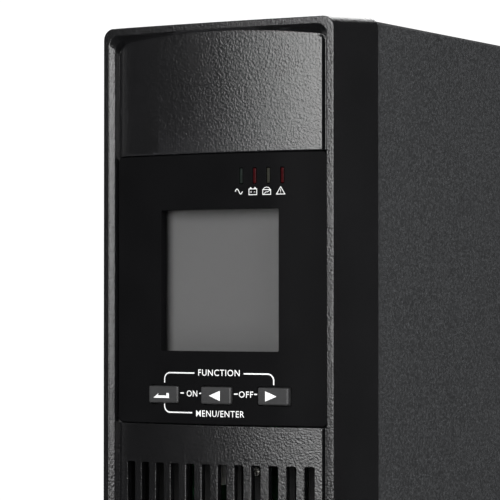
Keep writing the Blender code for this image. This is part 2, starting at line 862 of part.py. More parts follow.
def make_front_wall():
    wall = block(
        "front_wall",
        (-INNER_HALF, y_at(FRONT_WALL_DEPTH), INNER_LOW),
        (INNER_HALF, y_at(FRONT_WALL_DEPTH + SHEET), INNER_HIGH),
        "chassis_paint",
    )
    bay = block(
        "bay_opening",
        (TRAY_X - OPENING_GAP, y_at(FRONT_WALL_DEPTH - CUT), TRAY_Z - SLIDE_GAP / 2),
        (BATTERY_RIGHT + OPENING_GAP, y_at(FRONT_WALL_DEPTH + CUT), TRAY_HIGH + OPENING_GAP),
    )
    width, _, thickness = TAB_SIZE
    tabs = blocks(
        "tab_slots",
        (width + 4 * SLIDE_GAP, CUT, thickness + 4 * SLIDE_GAP),
        [(x, y_at(FRONT_WALL_DEPTH + SHEET / 2), z) for x, z in tab_places()],
    )
    vents = blocks(
        "vent_slots",
        (0.005, CUT, 0.060),
        [
            (x * 0.010, y_at(FRONT_WALL_DEPTH + SHEET / 2), BAY_WALL_Z + 0.065)
            for x in (-2.5, -1.5, -0.5, 0.5, 1.5, 2.5)
        ],
    )
    return cut(wall, bay, tabs, vents, cable_hole())


def cable_hole():
    return block(
        "cable_hole",
        (-CABLE_WIDTH / 2 - 0.003, y_at(FRONT_WALL_DEPTH - CUT), PANEL_MIDDLE - 0.008),
        (CABLE_WIDTH / 2 + 0.003, y_at(FRONT_WALL_DEPTH + CUT), PANEL_MIDDLE + 0.008),
    )


def make_bay_wall():
    """The shelf between the battery bay and the electronics, with a fold along the chassis base."""
    left = -CHASSIS_HALF + SHEET + GAP
    fold = 0.007
    return folded_sheet(
        "battery_bay_wall",
        [(left, BAY_WALL_Z + SHEET + fold), (left, BAY_WALL_Z), (INNER_HALF, BAY_WALL_Z)],
        FRONT_WALL_DEPTH + SHEET + GAP,
        TRAY_BACK + 0.010,
        "bare_steel",
    )


# ---------------------------------------------------------------- battery cassette


def battery_places():
    """Lowest corner of each battery: front pair, then back pair, lower one first."""
    for along in range(2):
        for row in range(2):
            yield (
                BATTERY_X,
                FLANGE_FRONT + SHEET + BATTERY_GAP + along * (BATTERY_LENGTH + BATTERY_GAP),
                TRAY_Z + SHEET + BATTERY_GAP + row * TRAY_ROW,
            )


def make_tray():
    front, back = FLANGE_FRONT, TRAY_BACK
    outer = block(
        "tray_outer",
        (TRAY_X, y_at(front), TRAY_Z),
        (TRAY_X + TRAY_LIP, y_at(back), TRAY_HIGH),
    )
    inner = block(
        "tray_inner",
        (TRAY_X + SHEET, y_at(front + SHEET), TRAY_Z + SHEET),
        (TRAY_X + TRAY_LIP + CUT, y_at(back - SHEET), TRAY_HIGH - SHEET),
    )
    flange = block(
        "tray_flange",
        (TRAY_X - FLANGE_MARGIN + TRAY_LIFT / 2, y_at(front), TRAY_Z - SLIDE_GAP / 4),
        (BATTERY_RIGHT + FLANGE_MARGIN, y_at(front + SHEET), TRAY_HIGH + FLANGE_MARGIN),
    )
    cut(outer, inner)
    join(outer, flange)
    for side in (-1, 1):
        x = BAIL_X + side * (BAIL_HALF_SPAN + BAIL_BEND + LUG_THICKNESS)
        lug = block(
            f"lug_{'left' if side < 0 else 'right'}",
            (x - LUG_THICKNESS / 2, y_at(front - 2 * BAIL_OFFSET), BAIL_Z - LUG_HEIGHT / 2),
            (x + LUG_THICKNESS / 2, y_at(front + SHEET / 2), BAIL_Z + LUG_HEIGHT / 2),
        )
        bore = round_bar(
            f"lug_bore_{'left' if side < 0 else 'right'}",
            BAIL_WIRE + 2 * GAP,
            2 * CUT,
            (x, y_at(front - BAIL_OFFSET), BAIL_Z),
            "X",
            sides=12,
        )
        cut(lug, bore)
        join(outer, lug)
    return into_part(outer, "battery_tray", "bare_steel")


def make_battery(number, place):
    x, depth, z = place
    body = block(
        f"battery_body_{number}",
        (x, y_at(depth), z),
        (x + BATTERY_WIDTH, y_at(depth + BATTERY_LENGTH), z + BATTERY_HEIGHT),
    )
    bevel(body, 0.002)
    width, thickness, height = TERMINAL_SIZE
    blades = blocks(
        f"terminals_{number}",
        (width, thickness, 2 * height),
        [
            (x + BATTERY_WIDTH * 0.25, y_at(depth + BATTERY_LENGTH * share), z + BATTERY_HEIGHT)
            for share in (0.06, 0.94)
        ],
    )
    join(body, blades)
    return into_part(body, f"battery_{number}", "battery_block")


def make_bail():
    """The wire handle, hanging down from its lugs. Its origin is on the hinge axis."""
    ends = BAIL_HALF_SPAN + BAIL_BEND + 2 * LUG_THICKNESS + 0.001
    points = [(ends, 0, 0)]
    for centre_x, centre_z, first in (
        (BAIL_HALF_SPAN + BAIL_BEND, -BAIL_BEND, 90),
        (BAIL_HALF_SPAN - BAIL_BEND, -BAIL_REACH + BAIL_BEND, 0),
    ):
        turning = 1 if first == 90 else -1
        for step in range(4):
            angle = math.radians(first + turning * 30 * step)
            points.append(
                (centre_x + BAIL_BEND * math.cos(angle), 0, centre_z + BAIL_BEND * math.sin(angle))
            )
    points += [(-x, y, z) for x, y, z in reversed(points)]
    place = (BAIL_X, y_at(FLANGE_FRONT - BAIL_OFFSET), BAIL_Z)
    return tube("bail_handle", points, BAIL_WIRE, "bare_steel", place)


def make_battery_plug():
    width, length, height = PLUG_SIZE
    x, z = PLUG_PLACE
    plug = block(
        "plug_housing",
        (x - width / 2, y_at(TRAY_BACK + GAP), z - height / 2),
        (x + width / 2, y_at(TRAY_BACK + GAP + length), z + height / 2),
    )
    bevel(plug, 0.001)
    for number, side in enumerate((-1, 1)):
        bore = round_bar(
            f"plug_bore_{number}",
            CONTACT_RADIUS + 2 * GAP,
            2 * (CONTACT_LENGTH + GAP),
            (x, y_at(TRAY_BACK + GAP + length), z + side * CONTACT_SPREAD),
            "Y",
            sides=12,
        )
        cut(plug, bore)
    return into_part(plug, "battery_plug", "connector_grey")


def make_battery_socket():
    """The chassis half of the power connector, on a foot that reaches the chassis base."""
    width, length, height = PLUG_SIZE
    x, z = PLUG_PLACE
    front = TRAY_BACK + GAP + length + GAP
    housing = block(
        "socket_housing",
        (x - width / 2, y_at(front), z - height / 2),
        (x + width / 2, y_at(front + length), z + height / 2),
    )
    foot = block(
        "socket_foot",
        (-CHASSIS_HALF + SHEET + GAP, y_at(front + length / 2), z - height / 2),
        (x, y_at(front + length / 2 + 0.002), z + height / 2),
    )
    join(housing, foot)
    for number, side in enumerate((-1, 1)):
        contact = round_bar(
            f"contact_{number}",
            CONTACT_RADIUS,
            2 * CONTACT_LENGTH,
            (x, y_at(front), z + side * CONTACT_SPREAD),
            "Y",
            sides=12,
        )
        join(housing, contact)
    return into_part(housing, "battery_socket", "connector_grey")


# ---------------------------------------------------------------- power electronics


def make_main_board():
    """The power board on standoffs from the chassis base."""
    low, high = DECK_LOW, DECK_HIGH
    front, back = MAIN_BOARD_FRONT, MAIN_BOARD_FRONT + MAIN_BOARD_LENGTH
    board = block(
        "board_plate", (BOARD_X, y_at(front), low), (BOARD_TOP_X, y_at(back), high)
    )
    inset = 0.008
    for number in range(4):
        z = (low + inset, high - inset)[number % 2]
        depth = (front + inset, back - inset)[number // 2]
        length = STANDOFF - GAP
        post = round_bar(
            f"standoff_{number}",
            STANDOFF_RADIUS,
            length + BOARD_THICKNESS,
            (BOARD_X - length / 2 + BOARD_THICKNESS / 2, y_at(depth), z),
            "X",
            sides=6,
        )
        join(board, post)
    return into_part(board, "main_board", "circuit_board")


def comb_outline(width, height, base, fins, thickness):
    """Side of a finned extrusion: a base along U with fins standing in V."""
    pitch = (width - thickness) / (fins - 1)
    points = [(width / 2, 0), (-width / 2, 0)]
    for fin in range(fins):
        left = -width / 2 + fin * pitch
        points += [(left, height), (left + thickness, height)]
        if fin < fins - 1:
            points += [(left + thickness, base), (left + pitch, base)]
    return points


def make_heatsink(name, depth, z):
    """Fins stand along X, away from the board, and the air runs along Y."""
    outline = [
        (v + BOARD_TOP_X + GAP, u)
        for u, v in comb_outline(
            HEATSINK_WIDTH, HEATSINK_HEIGHT, HEATSINK_BASE, HEATSINK_FINS, FIN_THICKNESS
        )
    ]
    return plate(
        name,
        [outline],
        HEATSINK_LENGTH,
        (0, y_at(depth + HEATSINK_LENGTH / 2), z),
        surface="aluminium",
    )


def make_capacitor(number, depth, z):
    x = BOARD_TOP_X + GAP + CAPACITOR_HEIGHT / 2
    can = round_bar(
        f"bulk_capacitor_{number}",
        CAPACITOR_RADIUS,
        CAPACITOR_HEIGHT,
        (x, y_at(depth), z),
        "X",
        "capacitor_sleeve",
        18,
    )
    return bevel(can, 0.0012)


def make_choke(name, depth, z):
    bpy.ops.mesh.primitive_torus_add(
        major_radius=CHOKE_RADIUS,
        minor_radius=CHOKE_WIRE,
        major_segments=20,
        minor_segments=10,
        location=(BOARD_TOP_X + GAP + CHOKE_WIRE, y_at(depth), z),
        rotation=(0, math.pi / 2, 0),
    )
    made = bpy.context.active_object
    made.name = name
    for holder in list(made.users_collection):
        holder.objects.unlink(made)
    PARTS.objects.link(made)
    made.data.materials.append(finish("copper_winding"))
    made.data.shade_smooth()
    return made


def make_transformer(depth, z):
    """A ferrite core whose two side legs close round the winding."""
    width, length, height = TRANSFORMER_SIZE
    x = BOARD_TOP_X + GAP
    core = block(
        "transformer_core",
        (x, y_at(depth), z - height / 2),
        (x + width, y_at(depth + length), z + height / 2),
    )
    waist = 0.005
    winding = block(
        "winding",
        (x + waist, y_at(depth - waist), z - height / 2 + 2 * waist),
        (x + width - waist, y_at(depth + length + waist), z + height / 2 - 2 * waist),
    )
    bevel(winding, 0.003)
    join(core, winding)
    return into_part(core, "transformer", "ferrite")


def make_relay(name, depth, z):
    width, length, height = RELAY_SIZE
    x = BOARD_TOP_X + GAP
    made = block(
        name,
        (x, y_at(depth), z - height / 2),
        (x + width, y_at(depth + length), z + height / 2),
        "relay_case",
    )
    return bevel(made, 0.0008)


def make_control_board():
    """The control board, standing edge-on beside the power board's front part."""
    width, length, thickness = CONTROL_BOARD_SIZE
    x = BOARD_TOP_X + GAP
    z = CONTROL_Z
    return block(
        "control_board",
        (x, y_at(MAIN_BOARD_FRONT), z),
        (x + width, y_at(MAIN_BOARD_FRONT + length), z + thickness),
        "circuit_board",
    )


def make_display_cable():
    """The flat cable from the display board's header to the control board, which it unplugs from in front."""
    start = BOARD_DEPTH + BOARD_THICKNESS + GAP
    end = MAIN_BOARD_FRONT + 0.010
    sag = PANEL_MIDDLE - CONTROL_Z - CABLE_THICKNESS - CONTROL_BOARD_SIZE[2] - 3 * GAP
    steps = 10
    upper, lower = [], []
    for step in range(steps + 1):
        share = step / steps
        depth = start + (end - start) * share
        drop = -sag * (3 * share**2 - 2 * share**3)
        upper.append((-y_at(depth), drop + CABLE_THICKNESS / 2))
        lower.append((-y_at(depth), drop - CABLE_THICKNESS / 2))
    return plate(
        "display_cable",
        [upper + lower[::-1]],
        CABLE_WIDTH,
        (0, 0, PANEL_MIDDLE),
        (math.pi / 2, 0, -math.pi / 2),
        "ribbon_cable",
    )


# ---------------------------------------------------------------- rear panel


def rear_rows():
    """Middle height of each row on the rear panel. The rows share out the height that is left."""
    spare = INNER_HIGH - INNER_LOW - sum(REAR_ROW_HEIGHTS.values())
    space = spare / (len(REAR_ROW_HEIGHTS) + 1)
    rows, z = {}, INNER_LOW
    for name, height in REAR_ROW_HEIGHTS.items():
        z += space
        rows[name] = z + height / 2
        z += height
    return rows


def fan_z():
    return INNER_HIGH - FAN_CLEARANCE - FAN_SIZE / 2


def serial_x():
    return -INNER_HALF + 0.008 + SERIAL_FLANGE[0] / 2


def usb_x():
    return INNER_HALF - 0.014 - USB_SIZE[0] / 2


def network_x():
    return -INNER_HALF + 0.008 + NETWORK_SIZE[0] / 2


def epo_x():
    return INNER_HALF - 0.014 - EPO_SIZE[0] / 2


def inlet_x():
    return -INNER_HALF + 0.004 + INLET_FLANGE[0] / 2


def breaker_x():
    return INNER_HALF - 0.004 - BREAKER_NUT


def bank_size():
    return OUTLET_PITCH[0] + OUTLET_SIZE[0] + 2 * OUTLET_MARGIN, OUTLET_PITCH[1] + OUTLET_SIZE[
        1
    ] + 2 * OUTLET_MARGIN


def make_rear_panel():
    rows = rear_rows()
    panel = block(
        "rear_panel",
        (-INNER_HALF, y_at(REAR_FACE), INNER_LOW),
        (INNER_HALF, y_at(CHASSIS_BACK), INNER_HIGH),
        "chassis_paint",
    )
    middle = y_at(CHASSIS_BACK)

    def hole(name, x, z, width, height):
        """A rectangular hole with the usual gap round a body of that size."""
        return block(
            name,
            (x - width / 2 - GAP, middle - CUT, z - height / 2 - GAP),
            (x + width / 2 + GAP, middle + CUT, z + height / 2 + GAP),
        )

    width, height = bank_size()
    inset = 2 * PORT_WALL
    cut(
        panel,
        round_bar("fan_hole", FAN_BORE, 2 * CUT, (0, middle, fan_z()), "Y", sides=28),
        hole("inlet_hole", inlet_x(), rows["inlet"], OUTLET_SIZE[0] + 0.004, OUTLET_SIZE[1] + 0.004),
        hole("bank_hole_lower", 0, rows["outlets_lower"], width - inset, height - inset),
        hole("bank_hole_upper", 0, rows["outlets_upper"], width - inset, height - inset),
        hole("network_hole", network_x(), rows["network"], *NETWORK_SIZE),
        hole("epo_hole", epo_x(), rows["network"], *EPO_SIZE),
        hole("serial_hole", serial_x(), rows["serial"], *SERIAL_SHELL),
        hole("usb_hole", usb_x(), rows["serial"], *USB_SIZE),
        round_bar(
            "breaker_hole",
            BREAKER_BARREL + GAP,
            2 * CUT,
            (breaker_x(), middle, rows["inlet"]),
            "Y",
            sides=16,
        ),
    )
    return panel


def make_outlet_bank(name, z):
    """Four outlets in one moulding, each a shroud groove round a block with three contact slots."""
    width, height = bank_size()
    inset = 2 * PORT_WALL
    face = block(
        f"{name}_face",
        (-width / 2, y_at(CHASSIS_BACK + GAP), z - height / 2),
        (width / 2, y_at(CHASSIS_BACK + GAP + PLATE_PROUD), z + height / 2),
    )
    body = block(
        f"{name}_body",
        (-width / 2 + inset / 2, y_at(REAR_FACE - OUTLET_DEPTH - PORT_WALL), z - height / 2 + inset / 2),
        (width / 2 - inset / 2, y_at(CHASSIS_BACK + GAP + PLATE_PROUD / 2), z + height / 2 - inset / 2),
    )
    join(face, body)
    mouth = CHASSIS_BACK + GAP + PLATE_PROUD
    for column in (-1, 1):
        for row in (-1, 1):
            centre = (-column * OUTLET_PITCH[0] / 2, row * OUTLET_PITCH[1] / 2)
            groove = plate(
                f"{name}_groove_{column}_{row}",
                [
                    socket_outline(*OUTLET_SIZE, OUTLET_CHAMFER, centre),
                    socket_outline(
                        OUTLET_SIZE[0] - 2 * OUTLET_GROOVE,
                        OUTLET_SIZE[1] - 2 * OUTLET_GROOVE,
                        OUTLET_CHAMFER * 0.7,
                        centre,
                    ),
                ],
                2 * OUTLET_DEPTH,
                (0, y_at(mouth), z),
                (math.pi / 2, 0, math.pi),
            )
            contacts = blocks(
                f"{name}_contacts_{column}_{row}",
                (OUTLET_SLOT[0], OUTLET_DEPTH, OUTLET_SLOT[1]),
                [
                    (
                        -centre[0] + pin * PIN_PITCH,
                        y_at(mouth),
                        z + centre[1] + (0.0018 if pin == 0 else -0.0015),
                    )
                    for pin in (-1, 0, 1)
                ],
            )
            cut(face, groove, contacts)
    return into_part(face, name, "socket_plastic")


def make_inlet(z):
    """The mains inlet: a flange outside the panel, a shrouded cavity and three blades."""
    x = inlet_x()
    flange = plate(
        "inlet_flange",
        [rounded_rectangle(*INLET_FLANGE, 0.004)],
        PLATE_PROUD,
        (x, y_at(CHASSIS_BACK + GAP + PLATE_PROUD / 2), z),
    )
    body_width, body_height = OUTLET_SIZE[0] + 0.004, OUTLET_SIZE[1] + 0.004
    mouth = CHASSIS_BACK + GAP + PLATE_PROUD
    bottom = mouth - OUTLET_DEPTH
    body = block(
        "inlet_body",
        (x - body_width / 2, y_at(bottom - 0.003), z - body_height / 2),
        (x + body_width / 2, y_at(mouth - PLATE_PROUD / 2), z + body_height / 2),
    )
    cavity = plate(
        "inlet_cavity",
        [socket_outline(*OUTLET_SIZE, OUTLET_CHAMFER)],
        2 * OUTLET_DEPTH,
        (x, y_at(mouth), z),
        (math.pi / 2, 0, math.pi),
    )
    blades = blocks(
        "inlet_blades",
        (PIN_SIZE[0], OUTLET_DEPTH - 0.002, PIN_SIZE[1]),
        [
            (x + pin * PIN_PITCH, y_at(bottom + (OUTLET_DEPTH - 0.004) / 2), z - 0.002)
            for pin in (-1, 0, 1)
        ],
    )
    join(flange, body)
    cut(flange, cavity)
    join(flange, blades)
    return into_part(flange, "inlet_socket", "socket_plastic")


def port_shell(name, x, z, size, cavities, cavity_depth, surface):
    """A jack flush with the panel's outer face, with one or more rectangular cavities."""
    mouth = CHASSIS_BACK + PORT_WALL
    shell = block(
        f"{name}_shell",
        (x - size[0] / 2, y_at(mouth - PORT_BODY), z - size[1] / 2),
        (x + size[0] / 2, y_at(mouth), z + size[1] / 2),
    )
    for number, (u, width, height) in enumerate(cavities):
        hollow = block(
            f"{name}_cavity_{number}",
            (x + u - width / 2, y_at(mouth - cavity_depth), z - height / 2),
            (x + u + width / 2, y_at(mouth + CUT), z + height / 2),
        )
        cut(shell, hollow)
    return into_part(shell, name, surface)


def make_usb_port(z):
    inner = (USB_SIZE[0] - 2 * PORT_WALL - 0.0016, USB_SIZE[1] - 2 * PORT_WALL - 0.001)
    port = port_shell("usb_port", usb_x(), z, USB_SIZE, [(0, *inner)], USB_DEPTH, "bare_steel")
    mouth = CHASSIS_BACK + PORT_WALL
    tongue = block(
        "usb_tongue",
        (usb_x() - 0.0028, y_at(mouth - USB_DEPTH - PORT_WALL), z - 0.0016),
        (usb_x() + 0.0028, y_at(mouth - 0.001), z + 0.0016),
    )
    return join(port, tongue)


def make_network_port(z):
    offset = NETWORK_SIZE[0] / 4
    cavities = [(side * offset, *NETWORK_CAVITY) for side in (-1, 1)]
    return port_shell(
        "network_port", network_x(), z, NETWORK_SIZE, cavities, NETWORK_DEPTH, "socket_plastic"
    )


def trapezium(width, height, slope):
    """The outline of a subminiature D connector."""
    return [
        (-width / 2 + slope, -height / 2),
        (width / 2 - slope, -height / 2),
        (width / 2, height / 2),
        (-width / 2, height / 2),
    ]


def make_serial_port(z):
    x = serial_x()
    face = CHASSIS_BACK + GAP
    body = block(
        "serial_body",
        (x - SERIAL_SHELL[0] / 2, y_at(face - PORT_BODY), z - SERIAL_SHELL[1] / 2),
        (x + SERIAL_SHELL[0] / 2, y_at(face + PORT_WALL / 2), z + SERIAL_SHELL[1] / 2),
    )
    flange = plate(
        "serial_flange",
        [rounded_rectangle(*SERIAL_FLANGE, 0.0015)],
        PORT_WALL,
        (x, y_at(face + PORT_WALL / 2), z),
    )
    shell = plate(
        "serial_shell",
        [trapezium(*SERIAL_SHELL, 0.0015)],
        SERIAL_PROUD,
        (x, y_at(face + SERIAL_PROUD / 2), z),
    )
    hollow = plate(
        "serial_hollow",
        [trapezium(SERIAL_SHELL[0] - PORT_WALL, SERIAL_SHELL[1] - PORT_WALL, 0.0015)],
        2 * (SERIAL_PROUD - PORT_WALL / 2),
        (x, y_at(face + SERIAL_PROUD), z),
    )
    join(body, flange, shell)
    cut(body, hollow)
    for number, side in enumerate((-1, 1)):
        nut = round_bar(
            f"jack_nut_{number}",
            0.0026,
            0.006,
            (x + side * 0.0125, y_at(face + 0.003), z),
            "Y",
            sides=6,
        )
        join(body, nut)
    return into_part(body, "serial_port", "bare_steel")


def make_epo(z):
    """The emergency power-off header in the panel, and the two-way plug that pulls out of it."""
    x = epo_x()
    mouth = CHASSIS_BACK + PORT_WALL
    header = port_shell(
        "epo_header",
        x,
        z,
        EPO_SIZE,
        [(0, EPO_SIZE[0] - 2 * PORT_WALL, EPO_SIZE[1] - 2 * PORT_WALL)],
        EPO_TRAVEL_FIT + SLIDE_GAP,
        "terminal_green",
    )
    inner_width = EPO_SIZE[0] - 2 * PORT_WALL - 2 * SLIDE_GAP
    inner_height = EPO_SIZE[1] - 2 * PORT_WALL - 2 * SLIDE_GAP
    nose = block(
        "epo_nose",
        (x - inner_width / 2, y_at(mouth - EPO_TRAVEL_FIT), z - inner_height / 2),
        (x + inner_width / 2, y_at(REAR_END - 0.002), z + inner_height / 2),
    )
    head = block(
        "epo_head",
        (x - EPO_SIZE[0] / 2, y_at(mouth + SLIDE_GAP), z - EPO_SIZE[1] / 2),
        (x + EPO_SIZE[0] / 2, y_at(REAR_END), z + EPO_SIZE[1] / 2),
    )
    join(nose, head)
    for number, side in enumerate((-1, 1)):
        screw = round_bar(
            f"epo_screw_{number}", 0.0018, 0.004, (x + side * 0.0028, y_at(REAR_END), z), "Y", sides=10
        )
        cut(nose, screw)
    return header, into_part(nose, "epo_plug", "terminal_green")


def make_breaker(z):
    """A thermal breaker behind the panel, its nut outside, and the reset button in its barrel."""
    x = breaker_x()
    width, length, height = BREAKER_BODY
    face = CHASSIS_BACK + GAP
    body = block(
        "breaker_case",
        (x - width / 2, y_at(REAR_FACE - GAP - length), z - height / 2),
        (x + width / 2, y_at(REAR_FACE - GAP), z + height / 2),
    )
    barrel = round_bar(
        "breaker_barrel",
        BREAKER_BARREL,
        0.012,
        (x, y_at(face + 0.0045 - 0.006), z),
        "Y",
        sides=16,
    )
    nut = round_bar("breaker_nut", BREAKER_NUT, 0.0025, (x, y_at(face + 0.00125), z), "Y", sides=6)
    bore = round_bar(
        "breaker_bore",
        BREAKER_KNOB + SLIDE_GAP,
        0.024,
        (x, y_at(face + 0.0045), z),
        "Y",
        sides=16,
    )
    join(body, barrel, nut)
    cut(body, bore)
    knob = round_bar(
        "breaker_button",
        BREAKER_KNOB,
        0.012,
        (x, y_at(face + 0.0070 - 0.006), z),
        "Y",
        "socket_plastic",
        16,
    )
    bevel(knob, 0.0006)
    return into_part(body, "breaker", "socket_plastic"), knob


def make_slot_cover(z):
    """The plate over the communication card slot, with a fold to pull it by."""
    width, height = SLOT_COVER_SIZE
    face = CHASSIS_BACK + GAP
    cover = block(
        "slot_plate",
        (-width / 2, y_at(face), z - height / 2),
        (width / 2, y_at(face + SHEET), z + height / 2),
    )
    grip = block(
        "slot_grip",
        (-width / 6, y_at(face + SHEET / 2), z - SHEET / 2),
        (width / 6, y_at(face + SHEET + SLOT_COVER_GRIP), z + SHEET / 2),
    )
    join(cover, grip)
    return into_part(cover, "slot_cover", "chassis_paint")


# ---------------------------------------------------------------- fan


def make_fan():
    z = fan_z()
    back = REAR_FACE - GAP
    middle = back - FAN_THICKNESS / 2
    frame = plate(
        "fan_case",
        [rounded_rectangle(FAN_SIZE, FAN_SIZE, 0.004, steps=2)],
        FAN_THICKNESS,
        (0, y_at(middle), z),
    )
    duct = round_bar(
        "fan_duct", FAN_BORE, FAN_THICKNESS + 2 * CUT, (0, y_at(middle), z), "Y", sides=28
    )
    cut(frame, duct)
    plate_depth = back - FAN_MOTOR_PLATE / 2
    motor = round_bar(
        "fan_motor_plate", FAN_HUB, FAN_MOTOR_PLATE, (0, y_at(plate_depth), z), "Y", sides=20
    )
    struts = blocks(
        "fan_strut_upright",
        (FAN_STRUT, FAN_MOTOR_PLATE - GAP, 2 * (FAN_BORE + FAN_WALL / 2)),
        [(0, y_at(plate_depth), z)],
    )
    cross = blocks(
        "fan_strut_level",
        (2 * (FAN_BORE + FAN_WALL / 2), FAN_MOTOR_PLATE - 2 * GAP, FAN_STRUT),
        [(0, y_at(plate_depth), z)],
    )
    join(frame, struts, cross, motor)
    frame = into_part(frame, "fan_frame", "fan_plastic")

    rotor_length = FAN_THICKNESS - FAN_MOTOR_PLATE - 3 * SLIDE_GAP
    rotor_middle = back - FAN_MOTOR_PLATE - SLIDE_GAP - rotor_length / 2
    rotor = round_bar(
        "fan_hub", FAN_HUB, rotor_length, (0, y_at(rotor_middle), z), "Y", sides=20
    )
    blades = bmesh.new()
    inner, outer = FAN_HUB * 0.8, FAN_BORE - TIP_CLEARANCE
    for number in range(FAN_BLADES):
        turn = Matrix.Rotation(2 * math.pi * number / FAN_BLADES, 4, "Y")
        shift = Matrix.Translation(((inner + outer) / 2, 0, 0))
        tilt = Matrix.Rotation(BLADE_PITCH, 4, "X")
        size = Matrix.Diagonal((outer - inner, BLADE_CHORD, BLADE_THICKNESS, 1))
        bmesh.ops.create_cube(blades, size=1.0, matrix=turn @ shift @ tilt @ size)
    fins = add(
        "fan_blades", mesh_of(blades, "fan_blades"), None, (0, y_at(rotor_middle), z)
    )
    join(rotor, fins)
    return frame, into_part(rotor, "fan_rotor", "fan_plastic")


def make_fan_guard():
    """Three wire rings on two crossed wires, outside the rear panel."""
    z = fan_z()
    depth = GUARD_DEPTH
    reach = FAN_BORE + 0.001
    guard = round_bar(
        "guard_wire_level", GUARD_WIRE, 2 * reach, (0, y_at(depth), z), "X", sides=8
    )
    upright = round_bar(
        "guard_wire_upright", GUARD_WIRE * 0.9, 2 * reach, (0, y_at(depth), z), "Z", sides=8
    )
    join(guard, upright)
    for number, radius in enumerate(GUARD_RINGS):
        bpy.ops.mesh.primitive_torus_add(
            major_radius=radius,
            minor_radius=GUARD_WIRE * 0.8,
            major_segments=24,
            minor_segments=6,
            location=(0, y_at(depth), z),
            rotation=(math.pi / 2, math.radians(7.5), 0),
        )
        ring = bpy.context.active_object
        ring.name = f"guard_ring_{number}"
        for holder in list(ring.users_collection):
            holder.objects.unlink(ring)
        CUTTERS.objects.link(ring)
        ring.hide_render = True
        ring.display_type = "WIRE"
        join(guard, ring)
    return into_part(guard, "fan_guard", "bare_steel")


# ---------------------------------------------------------------- tower stands


def stand_outline(side):
    """Cross-section of one half: a sole under the chassis, a cheek beside it and a sloping foot."""
    inner = CHASSIS_HALF + GAP
    top = CHASSIS_LOW + STAND_CHEEK
    sole = CHASSIS_LOW - GAP
    points = [(GAP / 2, 0), (inner + STAND_WALL + STAND_REACH, 0)]
    for step in range(STAND_STEPS + 1):
        share = step / STAND_STEPS
        x = inner + STAND_WALL + STAND_REACH * (1 - share)
        z = STAND_TOE + (top - STAND_TOE) * share**2.4
        points.append((x, z))
    points += [(inner, top), (inner, sole), (GAP / 2, sole)]
    return [(side * x, z) for x, z in points]


def make_stands():
    length = STAND_LENGTH
    first = CHASSIS_FRONT + STAND_FROM_ENDS + length / 2
    last = CHASSIS_BACK - STAND_FROM_ENDS - length / 2
    made = []
    for place, depth in (("front", first), ("rear", last)):
        for hand, side in (("left", -1), ("right", 1)):
            half = plate(
                f"stand_{place}_{hand}",
                [stand_outline(side)],
                length,
                (0, y_at(depth), 0),
                surface="stand_plastic",
            )
            made.append(half)
    return made


# ---------------------------------------------------------------- the object

CABLE_WIDTH = 0.018
CABLE_THICKNESS = 0.0012
CONTROL_Z = PANEL_MIDDLE - 0.010
BAIL_X = (TRAY_X + BATTERY_RIGHT) / 2
BAIL_Z = (TRAY_Z + TRAY_HIGH) / 2 + BAIL_REACH / 2
PLUG_PLACE = (TRAY_X + TRAY_LIP / 2, (TRAY_Z + TRAY_HIGH) / 2)


def make_front_body():
    slide = axis_empty("bezel_slide", (0, y_at(0), BODY_MIDDLE))
    carry(slide, make_bezel(), make_display_panel(), *make_screen(), *make_lamps())
    for number, name in enumerate(KEY_NAMES):
        carry(slide, make_switch(number, name))
        travel = axis_empty(f"key_{name}_slide", (key_x(number), y_at(0), KEY_Z))
        carry(travel, make_key(number, name))


def make_cassette():
    slide = axis_empty("battery_slide", (0, y_at(FLANGE_FRONT), (TRAY_Z + TRAY_HIGH) / 2))
    batteries = [make_battery(n + 1, place) for n, place in enumerate(battery_places())]
    carry(slide, make_tray(), make_battery_plug(), *batteries)
    make_bail()


def make_electronics():
    make_main_board()
    row = DECK_HIGH - DECK_LOW
    board_back = MAIN_BOARD_FRONT + MAIN_BOARD_LENGTH
    sink_front = board_back - HEATSINK_LENGTH - 0.045
    make_heatsink("heatsink_rectifier", sink_front, DECK_LOW + HEATSINK_WIDTH / 2 + 0.006)
    make_heatsink("heatsink_inverter", sink_front, DECK_HIGH - HEATSINK_WIDTH / 2 - 0.006)
    middle = (DECK_LOW + DECK_HIGH) / 2
    spacing = 2 * CAPACITOR_RADIUS + 0.004
    for number in range(4):
        depth = sink_front + CAPACITOR_RADIUS + (number // 2) * spacing
        z = middle + (number % 2 - 0.5) * spacing
        make_capacitor(number + 1, depth, z)
    choke_depth = sink_front - CHOKE_RADIUS - CHOKE_WIRE - 0.004
    make_choke("choke_rectifier", choke_depth, DECK_LOW + row * 0.16)
    make_choke("choke_inverter", choke_depth, DECK_HIGH - row * 0.16)
    make_transformer(sink_front + 2 * spacing + 0.006, middle)
    relay_depth = board_back - RELAY_SIZE[1] - 0.006
    make_relay("relay_bypass", relay_depth, DECK_LOW + 0.020)
    make_relay("relay_output", relay_depth, DECK_LOW + 0.040)
    make_control_board()
    make_display_cable()


def make_rear():
    rows = rear_rows()
    make_rear_panel()
    make_inlet(rows["inlet"])
    breaker, knob = make_breaker(rows["inlet"])
    make_outlet_bank("outlet_bank_lower", rows["outlets_lower"])
    make_outlet_bank("outlet_bank_upper", rows["outlets_upper"])
    make_network_port(rows["network"])
    make_epo(rows["network"])
    make_serial_port(rows["serial"])
    make_usb_port(rows["serial"])
    make_slot_cover(rows["slot"])
    _, rotor = make_fan()
    make_fan_guard()
    carry(axis_empty("fan_axis", (0, y_at(REAR_FACE), fan_z())), rotor)
    carry(axis_empty("breaker_slide", (breaker_x(), y_at(CHASSIS_BACK), rows["inlet"])), knob)


clear_scene()
PARTS = collection("rack_tower_ups")
CUTTERS = collection("cutters")
make_front_body()
make_chassis()
make_front_wall()
make_bay_wall()
make_cassette()
make_battery_socket()
make_electronics()
make_rear()
make_stands()
